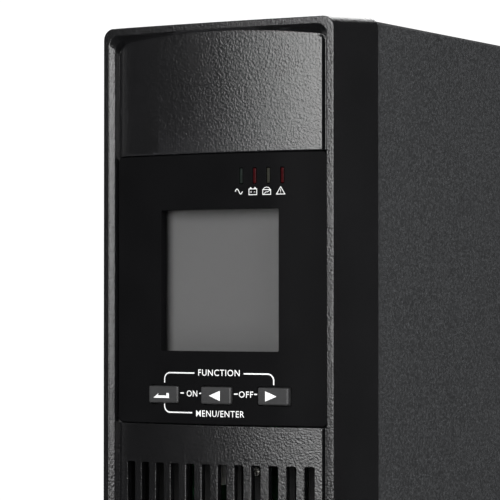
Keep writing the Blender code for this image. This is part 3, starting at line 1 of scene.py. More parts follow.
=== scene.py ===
"""Looks of a two-unit rack and tower power supply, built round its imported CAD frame.

The front faces -Y and +X is the right-hand side seen from the front. Every size and place is in
millimetres on the frame's own axes, until piece() turns a finished mesh into metres.
"""

import math
import random

import bmesh
import bpy
from mathutils import Matrix, Vector
from mathutils.geometry import delaunay_2d_cdt


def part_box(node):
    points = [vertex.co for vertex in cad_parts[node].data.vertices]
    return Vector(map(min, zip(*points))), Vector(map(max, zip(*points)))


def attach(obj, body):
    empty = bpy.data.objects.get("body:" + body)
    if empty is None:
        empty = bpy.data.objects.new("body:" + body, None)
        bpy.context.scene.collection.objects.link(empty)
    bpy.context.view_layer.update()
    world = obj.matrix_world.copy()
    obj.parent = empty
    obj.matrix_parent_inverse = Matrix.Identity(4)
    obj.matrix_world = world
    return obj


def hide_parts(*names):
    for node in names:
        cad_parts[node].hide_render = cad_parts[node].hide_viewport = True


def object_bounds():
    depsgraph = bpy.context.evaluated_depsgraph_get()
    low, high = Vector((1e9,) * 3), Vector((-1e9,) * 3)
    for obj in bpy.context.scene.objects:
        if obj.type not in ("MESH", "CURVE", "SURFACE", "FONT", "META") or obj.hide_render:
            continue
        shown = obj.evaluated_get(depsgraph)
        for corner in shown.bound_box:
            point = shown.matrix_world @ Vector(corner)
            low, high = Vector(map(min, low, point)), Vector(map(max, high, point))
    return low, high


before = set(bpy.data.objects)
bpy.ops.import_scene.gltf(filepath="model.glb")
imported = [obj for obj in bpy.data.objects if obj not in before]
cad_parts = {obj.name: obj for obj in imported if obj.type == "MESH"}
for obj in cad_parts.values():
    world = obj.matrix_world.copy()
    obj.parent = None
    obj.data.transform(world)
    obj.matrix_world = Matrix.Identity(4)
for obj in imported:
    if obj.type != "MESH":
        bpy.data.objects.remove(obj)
CAD_LOW, CAD_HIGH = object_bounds()

MM = 0.001
ROOT = "chassis"
SIDES = (-1, 1)
CORNERS = ((-1, -1), (-1, 1), (1, -1), (1, 1))
MERGE = 1e-4  # points closer than this become one

# How each way of facing turns (u, v, w) into world axes; w points out of the surface
FRONT = Matrix(((1, 0, 0), (0, 0, -1), (0, 1, 0))).to_4x4()
REAR = Matrix(((-1, 0, 0), (0, 0, 1), (0, 1, 0))).to_4x4()
RIGHT = Matrix(((0, 0, 1), (1, 0, 0), (0, 1, 0))).to_4x4()
TOP = Matrix.Identity(4)
UNDER = Matrix(((-1, 0, 0), (0, 1, 0), (0, 0, -1))).to_4x4()


def at(facing, x, y, z, turn=0.0):
    return Matrix.Translation((x, y, z)) @ facing @ Matrix.Rotation(turn, 4, "Z")


class Box:
    """A CAD node's box."""

    def __init__(self, node):
        low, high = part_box(node)
        self.low, self.high = low / MM, high / MM
        self.middle = (self.low + self.high) / 2
        self.size = self.high - self.low

    def place(self, facing, y):
        """The middle of the box seen from the front or the rear, at depth y."""
        return at(facing, self.middle.x, y, self.middle.z)

    def outline(self, radius, steps=3, grow=0.0):
        """A rounded rectangle as wide and high as the box, round its own middle."""
        return rounded(self.size.x + grow, self.size.z + grow, radius, (0, 0), steps)


# Places read from the frame
BEZEL = Box("front_bezel")
COVER = Box("chassis_cover")
PANEL = Box("display_panel")
GAP = 0.3
FRONT_Y = BEZEL.low.y
BEZEL_BACK = COVER.low.y - GAP
BEZEL_FACE_TOP = BEZEL.high.z - 1.7
BAY_TOP = Box("battery_bay_wall").low.z

# The bezel's section, as in the frame
TAPER = 1.7
RIM_WIDTH = 2.3
RIM_CORNER = 3.4
RIM_CROWN = 600
FASCIA_CROWN = 185
FASCIA_SINK = 0.5
FASCIA_WALL = 2.5
SIDE_DRAFT = 0.32
KNEE = 0.52  # share of the pocket's depth at which its side walls turn steep
END_DRAFT = 0.87
SLOT_EDGE = 0.28
LIP = 0.3

# The fine channels along the fascia's two sides
CHANNEL_X = 36.75
CHANNEL_SLOPE = 0.8
CHANNEL_DEPTH = 0.9
CHANNEL_CORNER = 2.2

# The bezel's clips and their windows in the front wall
CLIP_X = 30
CLIP_ROWS = (BAY_TOP + 18, BEZEL.high.z - 15.7)

SHEET = 1.2
BEND = 1.6
TRAY_LIFT = 2.5  # of the tray's floor over the low side of its flange
TERMINAL_SPREAD = 9  # of the battery plug's two ways, each side of its middle
FAN_BORE = 38
FAN_HOLES = 35.75

# ---------------------------------------------------------------- materials


class Nodes:
    """A material's node tree, with short ways to add and link nodes."""

    def __init__(self, name):
        self.material = bpy.data.materials.new(name)
        self.material.use_nodes = True
        self.tree = self.material.node_tree
        self.shader = self.tree.nodes["Principled BSDF"]
        self.coordinates = self.add("ShaderNodeTexCoord").outputs["Object"]

    def add(self, kind, **inputs):
        node = self.tree.nodes.new(kind)
        for key, value in inputs.items():
            node.inputs[key.replace("_", " ")].default_value = value
        return node

    def link(self, source, target):
        self.tree.links.new(source, target)

    def drive(self, **sources):
        """Links outputs to the shader's sockets of those names."""
        for key, source in sources.items():
            self.link(source, self.shader.inputs[key.replace("_", " ")])

    def fix(self, socket, value):
        self.shader.inputs[socket].default_value = value

    def noise(self, size, detail=2.0, stretch=None, roughness=0.5):
        """Noise whose features are about that size."""
        node = self.add("ShaderNodeTexNoise", Scale=1 / (size * MM), Detail=detail, Roughness=roughness)
        source = self.coordinates
        if stretch:
            mapping = self.add("ShaderNodeMapping", Scale=stretch)
            self.link(source, mapping.inputs["Vector"])
            source = mapping.outputs["Vector"]
        self.link(source, node.inputs["Vector"])
        return node.outputs["Fac"]

    def cells(self, size):
        node = self.add("ShaderNodeTexVoronoi", Scale=1 / (size * MM))
        self.link(self.coordinates, node.inputs["Vector"])
        return node.outputs["Distance"]

    def math(self, operation, *sources):
        node = self.add("ShaderNodeMath")
        node.operation = operation
        for source, socket in zip(sources, node.inputs):
            self.link(source, socket)
        return node.outputs[0]

    def span(self, source, low, high, start=0.3, end=0.7):
        node = self.add("ShaderNodeMapRange")
        for index, value in zip((1, 2, 3, 4), (start, end, low, high)):
            node.inputs[index].default_value = value
        self.link(source, node.inputs[0])
        return node.outputs[0]

    def blend(self, factor, first, second, start=0.3, end=0.7):
        """A colour between two, by where factor lies between start and end."""
        ramp = self.add("ShaderNodeValToRGB")
        for element, place, colour in zip(ramp.color_ramp.elements, (start, end), (first, second)):
            element.position = place
            element.color = (*colour, 1)
        self.link(factor, ramp.inputs["Fac"])
        return ramp.outputs["Color"]

    def lighten(self, colour, factor, other):
        """Mixes a constant colour over another where factor is high."""
        mix = self.add("ShaderNodeMix")
        mix.data_type = "RGBA"
        mix.inputs[7].default_value = (*other, 1)
        self.link(factor, mix.inputs[0])
        self.link(colour, mix.inputs[6])
        return mix.outputs[2]

    def bump(self, height, depth, strength=0.5, before=None):
        node = self.add("ShaderNodeBump", Distance=depth * MM, Strength=strength)
        self.link(height, node.inputs["Height"])
        if before:
            self.link(before, node.inputs["Normal"])
        return node.outputs["Normal"]


def shades(colour, spread):
    return [tuple(channel * (1 + side * spread) for channel in colour) for side in SIDES]


def moulded(name, colour, rough, grain=0.8, depth=0.05, strength=0.6, wear_and_edge_sheen=None):
    """Moulded plastic with a fine spark-eroded grain, lighter where its surface turns outwards, as wear and as
    a painted edge highlight.
    """
    n = Nodes(name)
    base = n.blend(n.noise(30, 4), *shades(colour, 0.18))
    # Outward edges lightened by pointiness: wear and a painted edge highlight
    if wear_and_edge_sheen:
        pointiness = n.add("ShaderNodeNewGeometry").outputs["Pointiness"]
        base = n.lighten(base, n.span(pointiness, 0, 1, 0.53, 0.62), wear_and_edge_sheen)
    roughness = n.span(n.noise(1.2, 3), rough - 0.02, rough + 0.03)
    normal = n.bump(n.noise(grain, 2.0, roughness=0.55), depth, strength)
    n.drive(Base_Color=base, Roughness=roughness, Normal=normal)
    return n.material


def glossy(name, colour, rough, wave=4, depth=0.01, specular=0.5):
    """Smooth plastic with faint waviness and slightly uneven polish."""
    n = Nodes(name)
    base = n.blend(n.noise(20, 3), *shades(colour, 0.12))
    roughness = n.span(n.noise(1.5, 4), rough, rough + 0.06)
    n.drive(Base_Color=base, Roughness=roughness, Normal=n.bump(n.noise(wave, 2), depth, 0.3))
    n.fix("Specular IOR Level", specular)
    return n.material


def powder(name, colour, rough, grain=0.7, depth=0.06, strength=0.55):
    """Fine textured powder coat on sheet metal, which loses its gloss at a low angle."""
    n = Nodes(name)
    base = n.blend(n.noise(60, 4), *shades(colour, 0.10))
    speck = n.span(n.noise(0.9, 2), 0, 1, 0.42, 0.64)
    base = n.lighten(base, speck, tuple(channel * 2.1 for channel in colour))
    uneven = n.span(n.noise(2, 3), rough - 0.06, rough + 0.08)
    low_angle = n.span(n.add("ShaderNodeLayerWeight").outputs["Facing"], 0, 1, 0.54, 0.70)
    peel = n.bump(n.noise(grain, 3, roughness=0.6), depth, strength)
    normal = n.bump(n.noise(grain * 0.4, 2), depth * 0.4, strength * 0.6, peel)
    n.drive(Base_Color=base, Roughness=n.math("MAXIMUM", uneven, low_angle), Normal=normal)
    n.fix("Specular IOR Level", 0.3)
    return n.material


def metal(name, colour, rough, brushed=(1, 1, 1), spangle=False):
    """Bare metal: brushed along one axis, zinc spangle, or turned."""
    n = Nodes(name)
    base = n.blend(n.cells(6) if spangle else n.noise(9, 4), *shades(colour, 0.14))
    roughness = n.span(n.noise(2.5, 4), rough - 0.06, rough + 0.12)
    n.drive(Base_Color=base, Roughness=roughness, Normal=n.bump(n.noise(0.4, 3, brushed), 0.006, 0.35))
    n.fix("Metallic", 1.0)
    return n.material


def lens(name, colour, rough=0.12, alpha=1.0, specular=0.5):
    """A light pipe, lens or clear pane, with faint streaks inside."""
    n = Nodes(name)
    base = n.blend(n.noise(2, 2), *shades(colour, 0.10))
    n.drive(Base_Color=base, Roughness=n.span(n.noise(1, 3), rough, rough + 0.05))
    n.fix("Specular IOR Level", specular)
    n.fix("Alpha", alpha)
    n.fix("IOR", 1.49)
    return n.material


def circuit_board(name, colour, track):
    """Solder mask over a pattern of copper tracks."""
    n = Nodes(name)
    lighter = (*(channel * 1.15 for channel in colour), 1)
    brick = n.add("ShaderNodeTexBrick", Scale=160.0, Color1=(*colour, 1), Color2=lighter)
    brick.inputs["Mortar"].default_value = (*track, 1)
    brick.inputs["Mortar Size"].default_value = 0.035
    upright = n.add("ShaderNodeMapping", Rotation=(0, math.pi / 2, 0))
    n.link(n.coordinates, upright.inputs["Vector"])
    n.link(upright.outputs["Vector"], brick.inputs["Vector"])
    roughness = n.span(n.noise(4, 3), 0.28, 0.42)
    normal = n.bump(brick.outputs["Fac"], 0.02, 0.4)
    n.drive(Base_Color=brick.outputs["Color"], Roughness=roughness, Normal=normal)
    return n.material


def screen_face(name, colour, rough):
    """An unlit screen: grey glass with a painted shadow of the window frame along its left and its top."""
    n = Nodes(name)
    left_x, top_z = Box("lcd_window").low.x, Box("lcd_module").high.z
    place = n.add("ShaderNodeSeparateXYZ")
    n.link(n.coordinates, place.inputs[0])
    # Masks for the painted shadow that the window frame casts on the screen's left edge and top edge
    left = n.span(place.outputs["X"], 0.10, 1, left_x * MM, (left_x + 3.1) * MM)
    top = n.span(place.outputs["Z"], 1, 0.60, (top_z - 4.5) * MM, (top_z - 2.0) * MM)
    # The painted shadow's colour: the screen's grey darkened to a twentieth
    frame_shadow = tuple(channel * 0.05 for channel in colour)
    base = n.blend(n.math("MULTIPLY", left, top), frame_shadow, colour, 0.0, 1.0)
    n.drive(Base_Color=base, Roughness=n.span(n.noise(3, 3), rough - 0.02, rough + 0.02))
    n.fix("Specular IOR Level", 0.1)
    return n.material


BEZEL_BLACK = (0.0032, 0.0032, 0.0035)
# Lighter colour for the bezel's outward edges, standing for wear and a painted edge highlight
BEZEL_WEAR_AND_EDGE_SHEEN = (0.010, 0.010, 0.011)
PAINT = (0.0128, 0.0132, 0.0138)
TRACK = (0.030, 0.150, 0.060)

# Each finish's material, and the record's slot that it usually stands for
FINISHES = {
    "bezel": (moulded("black_moulded_grain", BEZEL_BLACK, 0.23, 0.66, 0.17, 0.9, BEZEL_WEAR_AND_EDGE_SHEEN), "bezel_plastic"),
    "panel": (glossy("black_gloss_panel", (0.0030, 0.0030, 0.0032), 0.12, specular=0.005), "panel_gloss"),
    "paint": (powder("dark_powder_coat", PAINT, 0.42, 0.8, 0.25, 0.9), "chassis_paint"),
    # Near-black finish for the inner front wall: painted shade behind the grille, not the sheet's own paint
    "shade_black_paint": (powder("painted_shade_powder_coat", (0.0025, 0.0025, 0.0026), 0.60), "chassis_paint"),
    # The screen's grey carries a painted shadow of the window frame along its left and its top
    "lcd": (screen_face("grey_lcd_glass", (0.082, 0.082, 0.082), 0.60), "lcd_grey"),
    "lcd_frame": (moulded("lcd_frame_plastic", (0.05, 0.05, 0.052), 0.5), "socket_plastic"),
    "pane": (lens("clear_window", (0.01, 0.01, 0.01), 0.03, 0.10), "clear_pane"),
    "key": (glossy("key_plastic", (0.0165, 0.0165, 0.0170), 0.34, depth=0.02, specular=0.3), "key_plastic"),
    "print": (glossy("white_print", (0.50, 0.50, 0.50), 0.45, depth=0.004, specular=0.2), "panel_gloss"),
    "board": (circuit_board("green_board", (0.012, 0.075, 0.030), TRACK), "circuit_board"),
    "lamp_red": (lens("smoked_red_lens", (0.018, 0.002, 0.0025), specular=0.03), "lamp_red"),
    "lamp_amber": (lens("smoked_clear_lens", (0.014, 0.014, 0.011), specular=0.03), "lamp_smoke"),
    "lamp_green": (lens("smoked_green_lens", (0.006, 0.008, 0.007), specular=0.03), "lamp_smoke"),
    "zinc": (metal("zinc_plated_steel", (0.50, 0.51, 0.53), 0.36, spangle=True), "bare_steel"),
    "nickel": (metal("nickel_plate", (0.66, 0.65, 0.62), 0.24), "bare_steel"),
    "dark_screw": (metal("black_oxide", (0.045, 0.045, 0.047), 0.42), "bare_steel"),
    "aluminium": (metal("extruded_aluminium", (0.76, 0.77, 0.78), 0.34, (1, 0.02, 1)), "aluminium"),
    "gold": (metal("gold_flash", (0.80, 0.58, 0.22), 0.26), "bare_steel"),
    "copper": (metal("enamelled_copper", (0.55, 0.19, 0.07), 0.26), "copper_winding"),
    "battery": (moulded("battery_case", (0.030, 0.031, 0.034), 0.52, 1.4), "battery_block"),
    "battery_lid": (moulded("battery_lid", (0.062, 0.063, 0.066), 0.50, 1.4), "battery_block"),
    "socket": (moulded("black_nylon", (0.013, 0.013, 0.014), 0.38, 0.35, 0.02), "socket_plastic"),
    "sleeve": (glossy("capacitor_sleeve", (0.012, 0.016, 0.045), 0.26, depth=0.03), "capacitor_sleeve"),
    "ferrite": (powder("ferrite", (0.030, 0.030, 0.033), 0.52, 0.5, 0.05), "ferrite"),
    "tape": (glossy("winding_tape", (0.62, 0.44, 0.07), 0.30, depth=0.05), "ferrite"),
    "relay": (glossy("relay_case", (0.016, 0.075, 0.210), 0.30, depth=0.02), "relay_case"),
    "grey_plastic": (moulded("grey_connector", (0.27, 0.28, 0.29), 0.45), "connector_grey"),
    "blue_plastic": (moulded("blue_insert", (0.02, 0.06, 0.20), 0.42), "socket_plastic"),
    "green_plastic": (moulded("green_terminal", (0.016, 0.230, 0.060), 0.42), "terminal_green"),
    "white_plastic": (moulded("white_header", (0.68, 0.67, 0.62), 0.45), "connector_grey"),
    "fan": (moulded("fan_plastic", (0.010, 0.010, 0.011), 0.38, 0.6, 0.02), "fan_plastic"),
    "stand": (moulded("stand_plastic", (0.0125, 0.0125, 0.0135), 0.48, 0.6, 0.05), "stand_plastic"),
    "rubber": (moulded("rubber", (0.010, 0.010, 0.010), 0.75, 0.5, 0.05), "stand_plastic"),
    "ribbon": (glossy("ribbon_jacket", (0.42, 0.43, 0.44), 0.42, depth=0.03), "ribbon_cable"),
    "wire_red": (glossy("red_wire", (0.42, 0.015, 0.012), 0.38, depth=0.02), "battery_block"),
    "wire_black": (glossy("black_wire", (0.012, 0.012, 0.012), 0.38, depth=0.02), "battery_block"),
    "chip": (moulded("chip_epoxy", (0.014, 0.014, 0.015), 0.55, 0.3, 0.02), "circuit_board"),
}

# ---------------------------------------------------------------- mesh tools


def rounded(width, height, radius, centre=(0, 0), steps=4, across=1, along=1):
    """A rounded rectangle, anticlockwise from the right side, its straight sides cut in equal parts."""
    half_u, half_v = width / 2 - radius, height / 2 - radius

    def on_arc(corner, quarter):
        side_u, side_v = ((1, 1), (-1, 1), (-1, -1), (1, -1))[corner % 4]
        angle = math.pi / 2 * quarter
        u = centre[0] + side_u * half_u + radius * math.cos(angle)
        return u, centre[1] + side_v * half_v + radius * math.sin(angle)

    points = []
    for corner in range(4):
        points += [on_arc(corner, corner + step / steps) for step in range(steps + 1)]
        (u, v), (end_u, end_v) = points[-1], on_arc(corner + 1, corner + 1)
        parts = along if corner % 2 else across
        for part in range(1, parts):
            points.append((u + (end_u - u) * part / parts, v + (end_v - v) * part / parts))
    return points


def rectangle(low_x, high_x, low_z, high_z, radius=0.6):
    centre = ((low_x + high_x) / 2, (low_z + high_z) / 2)
    return rounded(high_x - low_x, high_z - low_z, radius, centre, 3)


def angles(count):
    return [2 * math.pi * number / count for number in range(count)]


def circle(radius, sides=24, centre=(0, 0)):
    return [(centre[0] + radius * math.cos(a), centre[1] + radius * math.sin(a)) for a in angles(sides)]


def wound(loop, anticlockwise):
    area = sum(a[0] * b[1] - b[0] * a[1] for a, b in zip(loop, loop[1:] + loop[:1]))
    return loop if (area > 0) == anticlockwise else loop[::-1]


def offset(loop, distance):
    """The loop moved to the left of its direction of travel."""
    shifted = []
    for before, point, after in zip(loop[-1:] + loop[:-1], loop, loop[1:] + loop[:1]):
        first = Vector((point[0] - before[0], point[1] - before[1])).normalized()
        second = Vector((after[0] - point[0], after[1] - point[1])).normalized()
        normal = Vector((-first.y - second.y, first.x + second.x))
        if normal.length < 1e-6:
            normal = Vector((-first.y, first.x))
        normal.normalize()
        lean = max(0.4, normal.dot(Vector((-first.y, first.x))))
        shifted.append((point[0] + normal.x * distance / lean, point[1] + normal.y * distance / lean))
    return shifted


def inside(point, loop):
    hit = False
    for (ax, ay), (bx, by) in zip(loop, loop[1:] + loop[:1]):
        if (ay > point[1]) != (by > point[1]):
            if point[0] < ax + (bx - ax) * (point[1] - ay) / (by - ay):
                hit = not hit
    return hit


def fill(work, loops, w):
    """Adds triangles over the first loop's area less the other loops', at height w."""
    points = [Vector(point) for loop in loops for point in loop]
    edges, start = [], 0
    for loop in loops:
        count = len(loop)
        edges += [(start + i, start + (i + 1) % count) for i in range(count)]
        start += count
    places, _, faces, *_ = delaunay_2d_cdt(points, edges, [], 0, 1e-6)
    made = [work.verts.new((place.x, place.y, w)) for place in places]
    for face in faces:
        u = sum(places[i].x for i in face) / len(face)
        v = sum(places[i].y for i in face) / len(face)
        if inside((u, v), loops[0]) and not any(inside((u, v), hole) for hole in loops[1:]):
            work.faces.new([made[i] for i in face])
    loose = [vertex for vertex in made if not vertex.link_faces]
    bmesh.ops.delete(work, geom=loose, context="VERTS")


def closed_up(work):
    """Joins the points that meet, and turns the faces outwards."""
    bmesh.ops.remove_doubles(work, verts=work.verts, dist=MERGE)
    bmesh.ops.recalc_face_normals(work, faces=work.faces)
    return work


def look_along_y(work, way):
    """Turns a sheet's faces to the front, with way at -1, or to the rear, with way at 1."""
    bmesh.ops.recalc_face_normals(work, faces=work.faces)
    if sum(face.normal.y * face.calc_area() for face in work.faces) * way < 0:
        bmesh.ops.reverse_faces(work, faces=work.faces)


def ring_walls(work, rings):
    """Quads between successive rings of as many points."""
    rows = [[work.verts.new(point) for point in ring] for ring in rings]
    for row, following in zip(rows, rows[1:]):
        for i in range(len(row)):
            j = (i + 1) % len(row)
            work.faces.new((row[i], row[j], following[j], following[i]))
    return rows


def rounding(edge, level, steps, sign):
    """Pairs of offset and height that round one edge of a plate; the flat side comes first."""
    if edge <= 0:
        return [(0.0, level)]
    turns = [math.pi / 2 * step / steps for step in range(steps + 1)]
    return [(edge * (1 - math.sin(a)), level - sign * edge * (1 - math.cos(a))) for a in turns]


def slab(loops, low, high, edge=0.3, back=None, steps=2):
    """A plate with holes between two heights, its edges rounded at the front and at the back."""
    work = bmesh.new()
    oriented = [wound(loop, number == 0) for number, loop in enumerate(loops)]
    top = rounding(edge, high, steps, 1)
    bottom = rounding(edge if back is None else back, low, steps, -1)[::-1]
    for loop in oriented:
        ring_walls(work, [[(u, v, w) for u, v in offset(loop, shift)] for shift, w in top + bottom])
    fill(work, [offset(loop, top[0][0]) for loop in oriented], high)
    fill(work, [offset(loop, bottom[-1][0]) for loop in oriented], low)
    return closed_up(work)


def moved(work, place):
    bmesh.ops.transform(work, matrix=place, verts=work.verts)
    return work


def box(low, high, edge=0.3, steps=2):
    """A block between two corners with rounded edges."""
    low, high = Vector(low), Vector(high)
    size = high - low
    work = bmesh.new()
    bmesh.ops.create_cube(work, size=1.0, matrix=Matrix.Diagonal((*size, 1.0)))
    edge = min(edge, min(size) * 0.45)
    if edge > 0:
        edges = work.edges[:]
        bmesh.ops.bevel(work, geom=edges, offset=edge, segments=steps, profile=0.5, affect="EDGES")
    return moved(work, Matrix.Translation((low + high) / 2))


def turned(profile, place, sides=24):
    """A solid of revolution about w: profile holds radius and height pairs from bottom to top."""
    work = bmesh.new()
    rings = [[(u, v, w) for u, v in circle(radius, sides)] for radius, w in profile if radius > 0]
    rows = ring_walls(work, rings)
    for row, (radius, w) in ((rows[0], profile[0]), (rows[-1], profile[-1])):
        if radius > 0:
            work.faces.new(row)
            continue
        tip = work.verts.new((0, 0, w))
        for a, b in zip(row, row[1:] + row[:1]):
            work.faces.new((a, b, tip))
    bmesh.ops.recalc_face_normals(work, faces=work.faces)
    return moved(work, place)


def neighbours(points, closed):
    """Each point with the ones before and after it, or with itself at an open end."""
    before = [points[-1] if closed else points[0], *points[:-1]]
    after = [*points[1:], points[0] if closed else points[-1]]
    return zip(before, points, after)


def rod(points, radius, sides=10, closed=False):
    """A round wire through points, with closed ends."""
    work = bmesh.new()
    rings, normal = [], None
    for before, point, after in neighbours([Vector(point) for point in points], closed):
        along = (after - before).normalized()
        if normal is None:
            normal = along.orthogonal().normalized()
        normal = (normal - along * normal.dot(along)).normalized()
        other = along.cross(normal)
        ring = [point + (normal * math.cos(a) + other * math.sin(a)) * radius for a in angles(sides)]
        rings.append(ring)
    if closed:
        ring_walls(work, rings + rings[:1])
        return closed_up(work)
    rows = ring_walls(work, rings)
    work.faces.new(rows[0])
    work.faces.new(rows[-1])
    bmesh.ops.recalc_face_normals(work, faces=work.faces)
    return work


def smooth_path(points, steps=6):
    """A smooth curve through points."""
    points = [Vector(point) for point in points]
    path = []
    padded = [points[0] * 2 - points[1], *points, points[-1] * 2 - points[-2]]
    for a, b, c, d in zip(padded, padded[1:], padded[2:], padded[3:]):
        for step in range(steps):
            t = step / steps
            square, cube = 2 * a - 5 * b + 4 * c - d, 3 * b - a - 3 * c + d
            path.append(0.5 * (2 * b + (c - a) * t + square * t**2 + cube * t**3))
    return path + points[-1:]


def softened(corners, radii, steps=4):
    """One section through corner points, each corner rounded over its radius."""
    points = [corners[0]]
    for before, corner, after, radius in zip(corners, corners[1:], corners[2:], radii):
        if radius <= 0:
            points.append(corner)
            continue
        first, second = before - corner, after - corner
        share = 0.95 if after is corners[-1] else 0.5
        start = corner + first.normalized() * min(radius, first.length * 0.5)
        end = corner + second.normalized() * min(radius, second.length * share)
        for step in range(steps + 1):
            t = step / steps
            points.append(start * (1 - t) ** 2 + corner * 2 * t * (1 - t) + end * t**2)
    return points + corners[-1:]


def folded(profile, front, back):
    """Sheet metal bent along Y: the profile is its outer side in x and z."""
    outer = softened([Vector((x, z, 0)) for x, z in profile], [BEND] * (len(profile) - 2), 5)
    inner = []
    for before, point, after in neighbours(outer, False):
        along = (after - before).normalized()
        inner.append((point.x - along.y * SHEET, point.y + along.x * SHEET))
    outline = [(point.x, point.y) for point in outer] + inner[::-1]
    return moved(slab([outline], -back, -front, 0.15), FRONT)


def piece(name, works, finish, replaces=None, sharp=30, body=ROOT, slot=None, place=None, weighted=True):
    """Joins meshes, moved to a place, into one piece in metres that rides on a body."""
    material, usual_slot = FINISHES[finish]
    joined = bmesh.new()
    for work in works:
        if place is not None:
            moved(work, place)
        mesh = bpy.data.meshes.new("part")
        work.to_mesh(mesh)
        work.free()
        joined.from_mesh(mesh)
        bpy.data.meshes.remove(mesh)
    moved(joined, Matrix.Scale(MM, 4))
    mesh = bpy.data.meshes.new(name)
    joined.to_mesh(mesh)
    joined.free()
    mesh.shade_smooth()
    mesh.set_sharp_from_angle(angle=math.radians(sharp))
    made = bpy.data.objects.new(name, mesh)
    bpy.context.scene.collection.objects.link(made)
    mesh.materials.append(material)
    if weighted:
        made.modifiers.new("normals", "WEIGHTED_NORMAL").keep_sharp = True
    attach(made, body)
    if replaces:
        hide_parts(replaces)


def screw(place, radius=3, height=1.6, rise=0.0):
    """A pan-head screw standing on a surface, with its cross recess."""
    neck = radius * 0.62
    shape = [(radius, -0.3), (radius, height * 0.35), (radius * 0.92, height * 0.70)]
    shape += [(radius * 0.72, height * 0.94), (neck, height)]
    work = bmesh.new()
    rows = ring_walls(work, [[(u, v, w + rise) for u, v in circle(r)] for r, w in shape])
    work.faces.new(rows[0])
    arm, half = radius * 0.50, radius * 0.11
    quarter = [(arm, -half), (arm, half), (half, half)]
    cross = []
    for _ in range(4):
        cross += quarter
        quarter = [(-v, u) for u, v in quarter]
    foot = [(u * 0.7, v * 0.7) for u, v in cross]
    top, depth = height + rise, height * 0.6
    fill(work, [circle(neck), cross], top)
    ring_walls(work, [[(u, v, top) for u, v in cross], [(u, v, top - depth) for u, v in foot]])
    fill(work, [foot], top - depth)
    return moved(closed_up(work), place)


# ---------------------------------------------------------------- front bezel


def crown(radius, x):
    return radius - math.sqrt(max(0.0, radius * radius - x * x))


def fascia_depth(x, z=0.0):
    """Depth of the crowned fascia behind the bezel's foremost line, the same at every z."""
    return FASCIA_SINK + crown(FASCIA_CROWN, x)


def channel(x, z):
    """Depth of the channels along the fascia's two sides, which round off its upper and lower corners."""
    drop = fascia_depth(CHANNEL_X) - crown(RIM_CROWN, CHANNEL_X)
    end = (BEZEL.size.z / 2 - TAPER - RIM_WIDTH) - END_DRAFT * drop
    along, across = abs(z - BEZEL.middle.z) - (end - CHANNEL_CORNER), abs(x) - CHANNEL_X + CHANNEL_CORNER
    if across <= 0:
        return 0.0
    reach = (math.hypot(across, along) if along > 0 else across) - CHANNEL_CORNER
    share = min(1.0, max(0.0, reach / CHANNEL_SLOPE))
    return CHANNEL_DEPTH * (3 * share**2 - 2 * share**3)


def surface(x, z):
    return fascia_depth(x) + channel(x, z)


def bisected(work, place, normal):
    geometry = work.verts[:] + work.edges[:] + work.faces[:]
    bmesh.ops.bisect_plane(work, geom=geometry, dist=1e-5, plane_co=place, plane_no=normal)


def refined(work):
    """Cuts the fascia finely where its channels run and turn."""
    for index in range(17):
        x = CHANNEL_X - CHANNEL_CORNER + 0.25 * index
        bisected(work, (x, 0, 0), (1, 0, 0))
        bisected(work, (-x, 0, 0), (1, 0, 0))
    reach = BEZEL.size.z / 2 - TAPER - RIM_WIDTH
    for index in range(26):
        for side in SIDES:
            bisected(work, (0, BEZEL.middle.z + side * (reach - 0.3 * index), 0), (0, 1, 0))
    return work


def bent(work, depth_of, step=1.0):
    """Cuts a flat mesh, drawn in x and z, into columns and bends it to a depth behind the front."""
    xs = [vertex.co.x for vertex in work.verts]
    low, high = min(xs), max(xs)
    count = max(2, int((high - low) / step))
    for index in range(1, count):
        bisected(work, (low + (high - low) * index / count, 0, 0), (1, 0, 0))
    for vertex in work.verts:
        x, z, w = vertex.co
        vertex.co = (x, FRONT_Y + depth_of(x, z) - w, z)


def hole_rings(loop, top, edge, wall, front):
    """Rings down a hole's wall through the crowned plate, rounded at both ends."""
    front_part = [(shift, w, front) for shift, w in rounding(top, 0.0, 3, 1)]
    back_part = [(shift, w, fascia_depth) for shift, w in rounding(edge, -wall, 1, -1)[::-1]]
    rings = []
    for shift, w, depth_of in front_part + back_part:
        rings.append([(u, FRONT_Y + depth_of(u, v) - w, v) for u, v in offset(loop, shift)])
    return rings


def slot_loops():
    """Outlines of the grille's slots, as in the frame."""
    columns, rows, pitch, width = 12, 4, 5.95, 3.1
    length, bridge = 62, 6
    first = BEZEL.high.z - 140.8 - length / 2
    loops = []
    for row in range(rows):
        z = first - row * (length + bridge)
        for column in range(columns):
            loops.append(rounded(width, length, 0.45, ((column - (columns - 1) / 2) * pitch, z), 2))
    return loops


def opening_loop(grow):
    """Outline of the display panel's opening."""
    width, height = PANEL.size.x + 2 * grow, PANEL.size.z + 2 * grow
    return rounded(width, height, 1.6 + grow, (0, PANEL.middle.z), 5, 150, 2)


